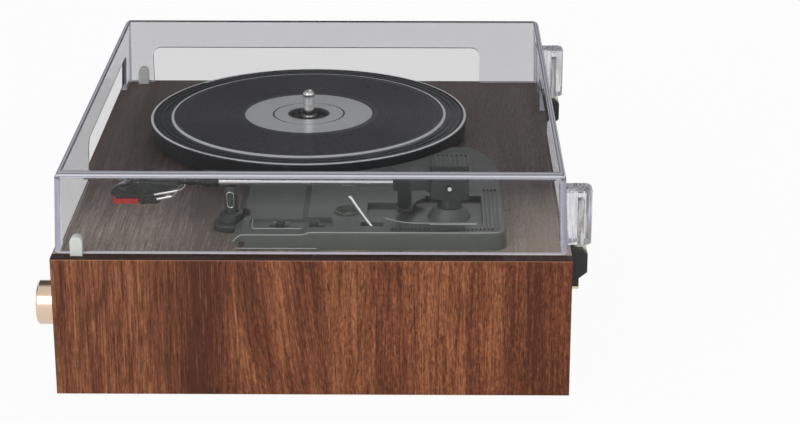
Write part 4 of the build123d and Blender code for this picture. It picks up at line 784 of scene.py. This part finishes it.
class PLAYER_OT_mat(bpy.types.Operator):
    """Ridged mat with a painted highlight on its edge bead, and the smooth pale label area"""

    bl_idname = "player.mat"
    bl_label = "Mat"

    def execute(self, context):
        settings = context.scene.record_player.platter
        low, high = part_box("platter_mat")
        outer = (high.x - low.x) / 2
        label = 0.405 * PLATTER_R
        mat = self.add_ridges(settings, outer, label, low.z, high.z)
        middle = self.add_label_area(settings, label, low.z, high.z)
        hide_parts("platter_mat")
        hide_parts("platter_mat")
        return {"FINISHED"}

    def add_ridges(self, settings, outer, label, floor, top):
        """The mat's outer part, with its edge bead and its ridges."""
        sunk = top - settings.ridge_depth
        profile = [(label, floor), (outer, floor), (outer, top - 0.45 * MM)]
        profile += [(outer - 0.35 * MM, top - 0.1 * MM), (outer - 0.8 * MM, top), (outer - 1.6 * MM, top)]
        profile += [(outer - 2.0 * MM, sunk), (outer - 4.5 * MM, sunk)]
        ridge = outer - 5.0 * MM
        while ridge > label + 3.5 * MM:
            crest = settings.ridge_pitch
            profile += [(ridge, top), (ridge - 0.42 * crest, top)]
            profile += [(ridge - 0.55 * crest, sunk), (ridge - 0.87 * crest, sunk)]
            ridge -= crest
        profile += [(label + 2.2 * MM, top), (label + 0.5 * MM, top), (label, top - 0.2 * MM)]

        mat = Finish("mat_rubber", settings.rubber, 0.58)
        dust = mat.noise(420, 4, 0.65).spread(0.4, 0.8, 0, 0.5)
        dust_and_painted_light = mixed(dust, settings.rubber, (0.075, 0.077, 0.082))
        # Pale ring at the mat's outer edge: a painted highlight
        painted_rim_highlight = worked("GREATER_THAN", mat.place.from_axis(PLATTER_CENTRE), outer - 1.5 * MM)
        mat.set("Base Color", mixed(painted_rim_highlight, dust_and_painted_light, settings.edge))
        mat.raised(mat.noise(2200, 2), 0.4, 0.03)
        return make_piece("mat_ridges", turned(profile, PLATTER_CENTRE, 256), mat,
                          "platter_assembly", 25)

    def add_label_area(self, settings, label, floor, top):
        """The smooth disc round the hub, with one groove in it."""
        hub_low, hub_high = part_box("platter_hub")
        inner = (hub_high.x - hub_low.x) / 2 + 0.2 * MM
        seat = top - 0.4 * MM
        ring = 0.22 * PLATTER_R
        disc = [(inner, floor), (label - 0.05 * MM, floor), (label - 0.05 * MM, seat - 0.1 * MM)]
        disc += [(label - 0.25 * MM, seat), (ring + 0.9 * MM, seat), (ring + 0.8 * MM, seat - 0.3 * MM)]
        disc += [(ring - 0.1 * MM, seat - 0.3 * MM), (ring - 0.2 * MM, seat), (inner, seat)]
        satin = Finish("label_satin", settings.centre, 0.26)
        groove = worked("COMPARE", satin.place.from_axis(PLATTER_CENTRE), ring + 0.35 * MM, 0.5 * MM)
        shaded = [value * 0.9 for value in settings.centre]
        tone = mixed(satin.noise(60, 4, 0.6), shaded, settings.centre)
        satin.set("Base Color", mixed(groove, tone, (0.012, 0.012, 0.013)))
        satin.raised(satin.noise(1800, 2), 0.3, 0.02)
        return make_piece("mat_label_area", turned(disc, PLATTER_CENTRE, 192), satin,
                          "platter_assembly", 25)


class PLAYER_OT_arm_unit(bpy.types.Operator):
    """Moulded base of the tonearm with transport screw and switch housings"""

    bl_idname = "player.arm_unit"
    bl_label = "Tonearm base"

    # Painted highlight lines on the moulding's arrises: name, points in millimetres in the shared frame
    ARRISES = (
        ("arris_rim", ((134.2, 66.0, 91.8), (134.3, 84.0, 91.8), (134.0, 92.0, 91.8))),
        ("arris_step", (
            (148.3, -37.0, 90.55), (148.4, -30.0, 90.6), (148.4, -3.5, 90.6), (148.2, -1.8, 91.2),
            (147.6, -0.6, 91.75), (147.6, 3.0, 91.8), (147.6, 97.0, 91.8), (147.0, 103.0, 91.75),
            (144.6, 106.0, 91.4))),
        ("arris_left", (
            (148.2, -36.6, 90.5), (148.0, -38.4, 90.2), (147.9, -40.2, 88.6), (147.9, -42.0, 86.6))),
        ("arris_well", (
            (124.2, 41.0, 91.75), (129.4, 47.0, 91.75), (132.3, 56.0, 91.75), (132.4, 72.0, 91.75),
            (132.4, 92.0, 91.75))),
        ("arris_foot", ((150.1, -40.0, 83.35), (150.1, -20.0, 83.35), (150.1, 4.0, 83.35))),
        ("arris_recess", (
            (124.2, -32.6, 90.55), (138.2, -32.6, 90.55), (138.4, -30.0, 90.55), (138.4, -2.0, 90.6))),
    )
    ARRIS_RADIUS = 0.24 * MM
    # How much paler than the arm's mouldings the base is, in red, green and blue
    PALER = (3.6, 3.2, 3.5)
    # Places along x where the painted shade on the base's far side starts to fade and where it ends
    PAINTED_SHADE_SPAN = (0.078, 0.104)

    def execute(self, context):
        colour = context.scene.record_player.arm.moulding
        paler = [value * share for value, share in zip(colour, self.PALER)]
        base = moulding("arm_base_moulding", paler, 0.40)
        # Darker towards the far side: painted shade
        base.paint_shade_on_side(0, *self.PAINTED_SHADE_SPAN, 0.84)
        dress(base, "tonearm_base")
        self.add_cap(base)
        self.add_lines()
        dress(moulding("housing_moulding", (0.02, 0.02, 0.022), 0.5), "switch_housings")
        dress(metal("transport_steel", STEEL, 0.28), "transport_screw")
        return {"FINISHED"}

    def add_lines(self):
        """Pale tubes along the base's upper edges and its foot: painted highlights on the arrises."""
        # Pale finish of the tubes: a painted highlight
        dust_and_painted_light = moulding("painted_arris_highlight", (0.62, 0.65, 0.62), 0.34)
        for name, points in self.ARRISES:
            line = [(x * MM, y * MM, z * MM) for x, y, z in points]
            tube_piece(name, line, self.ARRIS_RADIUS, dust_and_painted_light, "case")

    def add_cap(self, finish):
        """Low round rib about the transport screw."""
        low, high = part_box("transport_screw")
        centre = (low + high) / 2
        rib_middle, sunk = 7 * MM, 0.2 * MM
        floor = surface_below("tonearm_base", centre.x + rib_middle, centre.y) - sunk
        profile = [(6.3, 0.0), (7.6, 0.0), (7.6, 1.2), (7.3, 1.5), (6.6, 1.5), (6.3, 1.2)]
        ring = turned(in_mm(profile, floor), centre, 96)
        make_piece("transport_rib", ring, finish, "case")


class PLAYER_OT_switches(bpy.types.Operator):
    """Speed and auto-stop sliders with their printed marks"""

    bl_idname = "player.switches"
    bl_label = "Switches"

    # Words beside each switch and the travel from one to the next in millimetres
    MARKS = (("speed_switch", ("78", "45", "33"), 3.5), ("autostop_switch", ("OFF", "ON"), 4.0))

    def execute(self, context):
        colour = context.scene.record_player.arm.moulding
        dress(moulding("slider_moulding", colour, 0.4, edge=0.2), "speed_switch", "autostop_switch")
        ink = Finish("mark_ink", (0.62, 0.63, 0.62), 0.6)
        for switch, words, travel in self.MARKS:
            low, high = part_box(switch)
            middle = (low + high) / 2
            for index, word in enumerate(words):
                step = (index - (len(words) - 1) / 2) * travel * MM
                self.mark(f"{switch}_{word}", word, middle.x - 6.3 * MM, middle.y + step, ink)
        return {"FINISHED"}

    def mark(self, name, word, x, y, ink):
        """One printed word, read from the front of the player."""
        text = bpy.data.curves.new(name, "FONT")
        text.body = word
        text.size = 2.3 * MM
        text.extrude = 0.03 * MM
        text.align_x = "CENTER"
        text.align_y = "CENTER"
        spot = (x, y, surface_below("tonearm_base", x, y) + 0.03 * MM)
        placed(name, text, ink, "case", spot)


class PLAYER_OT_cueing(bpy.types.Operator):
    """Cueing lever and the lifting arc"""

    bl_idname = "player.cueing"
    bl_label = "Cueing"

    def execute(self, context):
        colour = context.scene.record_player.arm.moulding
        dress(metal("lever_steel", (0.78, 0.78, 0.78), 0.14), "cue_lever")
        dress(moulding("cue_moulding", colour, 0.36, edge=0.3), "cue_lift")
        return {"FINISHED"}


class PLAYER_OT_arm_rest(bpy.types.Operator):
    """Arm rest with its round foot"""

    bl_idname = "player.arm_rest"
    bl_label = "Arm rest"

    def execute(self, context):
        plastic = moulding("rest_moulding", (0.042, 0.046, 0.044), 0.34, edge=0.3)
        dress(plastic, "rest_foot")
        low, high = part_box("rest_foot")
        centre = (low + high) / 2
        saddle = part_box("arm_tube")[0].z - 0.3 * MM
        foot = high.z - 1.2 * MM
        core = 0.2 * MM
        profile = [(core, foot), (4.0 * MM, foot), (3.8 * MM, high.z + 2 * MM)]
        profile += [(3.5 * MM, saddle - 1.2 * MM), (3.2 * MM, saddle), (core, saddle)]
        column = make_piece("rest_column", turned(profile, centre, 96), plastic, "case")
        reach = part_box("rest_post")[1].z
        outline = [(-3.4, saddle - 6 * MM), (3.4, saddle - 6 * MM), (3.4, reach - 1 * MM)]
        outline += [(2.4, reach), (-2.4, reach), (-3.4, reach - 1 * MM)]
        back, thick = centre.x - 4.6 * MM, 1.6 * MM
        mesh = bmesh.new()
        prism(mesh, [(back, centre.y + side * MM, z) for side, z in outline], (thick, 0, 0))
        prong = make_piece("rest_prong", mesh, plastic, "case")
        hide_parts("rest_post")
        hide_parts("rest_post")
        self.add_clip(centre, saddle)
        return {"FINISHED"}

    def add_clip(self, centre, saddle):
        """Bright wire loop that closes the clip, on the post's front."""
        middle = saddle - 7.0 * MM
        loop = []
        for step in range(17):
            angle = pi * (0.5 + step / 8)
            side = 2.0 * MM * cos(angle)
            rise = 2.0 * MM * sin(angle) + (2.6 * MM if sin(angle) > 0 else -2.6 * MM)
            loop.append((centre.x + 3.7 * MM, centre.y + side, middle + rise))
        wire = metal("clip_wire", (0.86, 0.86, 0.84), 0.2)
        tube_piece("rest_clip", loop, 0.28 * MM, wire, "case")


class PLAYER_OT_swivel(bpy.types.Operator):
    """Swivel with its yoke, and the two pivot screws"""

    bl_idname = "player.swivel"
    bl_label = "Arm swivel"

    def execute(self, context):
        colour = context.scene.record_player.arm.moulding
        dress(moulding("swivel_moulding", colour, 0.36, edge=0.22, rub_and_edge_highlight=0.34), "arm_swivel")
        low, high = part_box("pivot_screws")
        screw = Finish("pivot_steel", (0.9, 0.9, 0.88), 0.3, 0.6)
        outside = screw.place.from_axis((low + high) / 2, 0).spread(1.0 * MM, 1.3 * MM, 0, 1)
        screw.set("Base Color", mixed(outside, (0.92, 0.92, 0.90), (0.03, 0.033, 0.03)))
        screw.raised(screw.noise(1500, 2), 0.3, 0.02)
        dress(screw, "pivot_screws")
        return {"FINISHED"}


class PLAYER_OT_arm(bpy.types.Operator):
    """Arm tube and its moulded carrier"""

    bl_idname = "player.arm"
    bl_label = "Arm"

    def execute(self, context):
        colour = context.scene.record_player.arm.moulding
        carrier = moulding("carrier_moulding", colour, 0.36, edge=0.22, rub_and_edge_highlight=0.30)
        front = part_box("arm_carrier")[0].y
        # Nearly black towards the carrier's front side: painted shade
        carrier.paint_shade_on_side(1, front + 9 * MM, front + 10 * MM, 0.92)
        dress(carrier, "arm_carrier")
        dress(metal("tube_chrome", (0.97, 0.97, 0.97), 0.12), "arm_tube")
        return {"FINISHED"}


class PLAYER_OT_head(bpy.types.Operator):
    """Headshell, cartridge with pins and leads, and the red stylus holder"""

    bl_idname = "player.head"
    bl_label = "Headshell and cartridge"

    LEADS = (("a", (0.62, 0.62, 0.60)), ("b", (0.50, 0.50, 0.50)), ("c", (0.40, 0.41, 0.42)),
             ("d", (0.55, 0.55, 0.53)))
    # Side of the headshell in millimetres from the lower front corner of its box, (back, up)
    ROOF = ((0.0, 1.4), (0.8, 3.9), (2.7, 5.7), (7.0, 6.9), (12.0, 7.7), (17.0, 8.0), (22.5, 7.9),
            (28.0, 7.4), (38.2, 6.2))
    UNDER = ((37.6, 4.6), (33.0, 3.9), (25.1, 1.6), (21.0, 0.0), (0.0, 0.0))
    # Finger lift from above, (out, back), and the neck's (radius, back)
    LIFT = ((14.2, 10.0), (21.5, 6.2), (23.6, 6.6), (24.4, 9.6), (23.2, 10.6), (14.2, 16.5))
    NECK = ((1.0, 37.0), (2.4, 37.0), (2.4, 49.6), (3.0, 50.2), (3.5, 50.8), (3.5, 59.0), (3.1, 60.2),
            (1.0, 60.2))

    def execute(self, context):
        settings = context.scene.record_player.arm
        self.add_shell(moulding("shell_moulding", (0.016, 0.018, 0.018), 0.22, edge=0.35, rub_and_edge_highlight=0.42))
        dress(moulding("cartridge_moulding", (0.026, 0.027, 0.028), 0.22, edge=0.2), "cartridge")
        dress(metal("pin_plate", (0.84, 0.82, 0.74), 0.16), "cartridge_pins")
        dress(moulding("stylus_moulding", settings.red, 0.30, 900, 0.01, edge=0.25), "stylus")
        self.add_leads(settings.lead_radius)
        return {"FINISHED"}

    def add_shell(self, finish):
        """Open-bottomed shell with its finger lift and the neck that holds the tube."""
        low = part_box("headshell")[0]
        width, wall, nose = 15 * MM, 1.4 * MM, 13 * MM

        def side(points, shift=0.0):
            return [(low.x + shift, low.y + back * MM, low.z + up * MM) for back, up in points]

        mesh = bmesh.new()
        outline = self.ROOF + self.UNDER
        prism(mesh, side(outline), (wall, 0, 0))
        prism(mesh, side(outline, width), (-wall, 0, 0))
        inner = tuple((back + 0.7, up - 1.2) for back, up in self.ROOF[::-1])
        prism(mesh, side(self.ROOF + inner, wall / 2), (width - wall, 0, 0))
        # The nose slants back on the far side
        for vertex in mesh.verts:
            if vertex.co.x < low.x + width / 2:
                vertex.co.y += 0.55 * max(0, low.y + nose - vertex.co.y)
        lift = [(low.x + out * MM, low.y + back * MM, low.z + 6.6 * MM) for out, back in self.LIFT]
        prism(mesh, lift, (0, 0, 1.1 * MM))
        shell = make_piece("headshell_shell", mesh, finish, "tonearm")
        tube_low, tube_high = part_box("arm_tube")
        axis = (tube_low + tube_high) / 2
        mesh = laid_back(turned(in_mm(self.NECK), Vector(), 96), Vector((axis.x, low.y, axis.z)))
        neck = make_piece("headshell_neck", mesh, finish, "tonearm")
        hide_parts("headshell")
        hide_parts("headshell")

    def add_leads(self, radius):
        """Four bright clips on the pins and the thin leads from them into the neck."""
        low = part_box("headshell")[0]
        tube_low, tube_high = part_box("arm_tube")
        neck_x = (tube_low.x + tube_high.x) / 2
        clip = Finish("lead_clip_plate", (0.92, 0.91, 0.88), 0.22, 0.6)
        clip.raised(clip.noise(2400, 2), 0.4, 0.05)
        for index, (shade, colour) in enumerate(self.LEADS):
            x = low.x + (13.4 if index % 2 == 0 else 1.6) * MM
            if index < 2:
                ends = ((24.2, 0.3), (31.0, 1.4), (37.4, 2.6))
            else:
                ends = ((25.6, -2.5), (29.8, -1.7), (34.0, -0.8))
            sleeve = [(x, low.y + back * MM, low.z + up * MM) for back, up in ends]
            tube_piece(f"lead_clip_{shade}", sleeve, 0.8 * MM, clip, "tonearm")
            last = Vector(sleeve[-1])
            route = [
                last, last + Vector((0, 1.8 * MM, 0.6 * MM)),
                Vector(((x + neck_x) / 2, last.y + 4.0 * MM, low.z + 4.0 * MM)),
                Vector((neck_x, low.y + 41.0 * MM, low.z + 6.0 * MM)),
            ]
            lead = rubber(f"lead_{shade}", colour, 0.5)
            tube_piece(f"lead_{shade}", route, radius, lead, "tonearm")


class PLAYER_OT_lid(bpy.types.Operator):
    """Clear lid and its two soft stops"""

    bl_idname = "player.lid"
    bl_label = "Lid"

    def execute(self, context):
        settings = context.scene.record_player.lid
        dress(acrylic("clear_acrylic", settings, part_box("lid")), "lid")
        stop = Finish("stop_silicone", settings.stop, 0.42)
        shaded = [value * 0.94 for value in settings.stop]
        stop.set("Base Color", mixed(stop.noise(300, 3, 0.6), shaded, settings.stop))
        stop.raised(stop.noise(1500, 2), 0.3, 0.03)
        stop.show(blended(0.45, stop.main, stop.lobe("Translucent", Color=settings.stop)))
        dress(stop, "lid_bumpers")
        return {"FINISHED"}


class PLAYER_OT_hinges(bpy.types.Operator):
    """Clear hinge sockets, plated tongues, black brackets and pins"""

    bl_idname = "player.hinges"
    bl_label = "Hinges"

    def execute(self, context):
        sockets = acrylic("socket_acrylic", context.scene.record_player.lid)
        dress(sockets, "hinge_socket_left", "hinge_socket_right")
        tongue = Finish("tongue_plate", (0.70, 0.70, 0.56), 0.36, 0.25)
        wear = tongue.place.stretched(1, 1, 0.2).noise(500, 3, 0.6)
        tongue.set("Base Color", mixed(wear, (0.56, 0.56, 0.43), (0.80, 0.80, 0.68)))
        tongue.raised(wear, 0.3, 0.03)
        dress(tongue, "hinge_tongue_left", "hinge_tongue_right")
        bracket = moulding("bracket_moulding", (0.012, 0.012, 0.013), 0.38, edge=0.25)
        dress(bracket, "hinge_bracket_left", "hinge_bracket_right")
        dress(metal("hinge_pin_steel", (0.045, 0.045, 0.045), 0.35), "hinge_pins")
        return {"FINISHED"}


class PLAYER_OT_stage(bpy.types.Operator):
    """White floor, room light, lamps and camera"""

    bl_idname = "player.stage"
    bl_label = "Stage"

    def execute(self, context):
        settings = context.scene.record_player.stage
        self.add_floor(settings)
        self.light_room(settings)
        self.add_lamp("main_lamp", (1.5, -0.8, 0.9), 1.3, settings.key_power)
        self.add_lamp("right_lamp", (1.2, 1.3, 0.8), 1.0, settings.fill_power)
        self.add_lamp("back_lamp", (-1.5, 0.4, 1.3), 1.2, settings.fill_power, 0.2)
        self.add_camera(settings)
        context.scene.view_settings.view_transform = "Standard"
        return {"FINISHED"}

    def add_floor(self, settings):
        mesh = bmesh.new()
        bmesh.ops.create_grid(mesh, x_segments=2, y_segments=2, size=settings.floor_half)
        data = bpy.data.meshes.new("floor")
        mesh.to_mesh(data)
        mesh.free()
        floor = bpy.data.objects.new("floor", data)
        bpy.context.scene.collection.objects.link(floor)
        white = Finish("floor_white", (0.86, 0.86, 0.86), 0.9)
        bounced = worked("GREATER_THAN", white.ray("Glossy Depth"), 0.5)
        seen = worked("MAXIMUM", white.ray("Is Camera Ray"), white.ray("Is Glossy Ray"))
        glow = made(white.tree, "Emission", "Emission")
        white.show(blended(seen * bounced.spread(0, 1, 0.95, 0.66), white.main, glow))
        data.materials.append(white.material)

    def light_room(self, settings):
        """Even light for surfaces; what gloss and glass show is white low down and dim above."""
        world = bpy.data.worlds.new("studio")
        world.use_nodes = True
        tree = world.node_tree
        ahead, _, height = made(tree, "TexCoord", "Generated").split()
        beyond = ahead.spread(-0.25, -0.55, 0, 1) * height.spread(0.06, 0.16, 0, 1)
        dim = mixed(beyond, height.ramp((0.0, 1.0), (1.0, 0.75)), [settings.far_side] * 3)
        light = settings.room_light
        plain = height.ramp((0.0, light), (0.35, 0.6 * light), (1.0, 0.22 * light))
        colour = mixed(made(tree, "LightPath", "Is Glossy Ray"), plain, dim)
        colour = mixed(made(tree, "LightPath", "Is Camera Ray"), colour, (1, 1, 1))
        plug(colour, tree.nodes["Background"].inputs["Color"])
        bpy.context.scene.world = world

    def add_lamp(self, name, place, size, power, gloss=1.0):
        lamp = bpy.data.lights.new(name, "AREA")
        lamp.shape = "DISK"
        lamp.size = size
        lamp.energy = power
        lamp.specular_factor = gloss
        piece = bpy.data.objects.new(name, lamp)
        piece.location = place
        aim = Vector((0, 0, 0.05)) - Vector(place)
        piece.rotation_euler = aim.to_track_quat("-Z", "Y").to_euler()
        bpy.context.scene.collection.objects.link(piece)

    def add_camera(self, settings):
        camera = bpy.data.cameras.new("camera")
        camera.sensor_width = 36
        camera.lens = settings.lens
        camera.clip_start = 0.05
        piece = bpy.data.objects.new("camera", camera)
        piece.location = settings.camera_place
        turn, tilt = settings.camera_turn, settings.camera_tilt
        look = Vector((-cos(turn) * cos(tilt), -sin(turn) * cos(tilt), -sin(tilt)))
        piece.rotation_euler = look.to_track_quat("-Z", "Y").to_euler()
        bpy.context.scene.collection.objects.link(piece)
        bpy.context.scene.camera = piece


# Panel and registration

SETTINGS = (
    VeneerSettings, KnobSettings, PlatterSettings, ArmSettings, LidSettings, StageSettings,
    RecordPlayerSettings,
)
OPERATORS = (
    PLAYER_OT_case, PLAYER_OT_underside, PLAYER_OT_speakers, PLAYER_OT_knob, PLAYER_OT_sockets,
    PLAYER_OT_drive, PLAYER_OT_platter, PLAYER_OT_mat, PLAYER_OT_arm_unit, PLAYER_OT_switches,
    PLAYER_OT_cueing, PLAYER_OT_arm_rest, PLAYER_OT_swivel, PLAYER_OT_arm, PLAYER_OT_head,
    PLAYER_OT_lid, PLAYER_OT_hinges, PLAYER_OT_stage,
)


class VIEW3D_PT_record_player(bpy.types.Panel):
    """Lists the pieces in the order in which they are made"""

    bl_label = "Record player"
    bl_space_type = "VIEW_3D"
    bl_region_type = "UI"
    bl_category = "Record player"

    def draw(self, context):
        for operator in OPERATORS:
            self.layout.operator(operator.bl_idname)
        for group in ("veneer", "knob", "platter", "arm", "lid", "stage"):
            settings = getattr(context.scene.record_player, group)
            box = self.layout.box()
            box.label(text=group.capitalize())
            for name in settings.bl_rna.properties.keys():
                if name not in ("rna_type", "name"):
                    box.prop(settings, name)


CLASSES = (*SETTINGS, *OPERATORS, VIEW3D_PT_record_player)


def register():
    for item in CLASSES:
        bpy.utils.register_class(item)
    bpy.types.Scene.record_player = PointerProperty(type=RecordPlayerSettings)


def unregister():
    del bpy.types.Scene.record_player
    for item in reversed(CLASSES):
        bpy.utils.unregister_class(item)


def main():
    register()
    for operator in OPERATORS:
        group, name = operator.bl_idname.split(".")
        getattr(getattr(bpy.ops, group), name)()


if __name__ == "__main__":
    main()
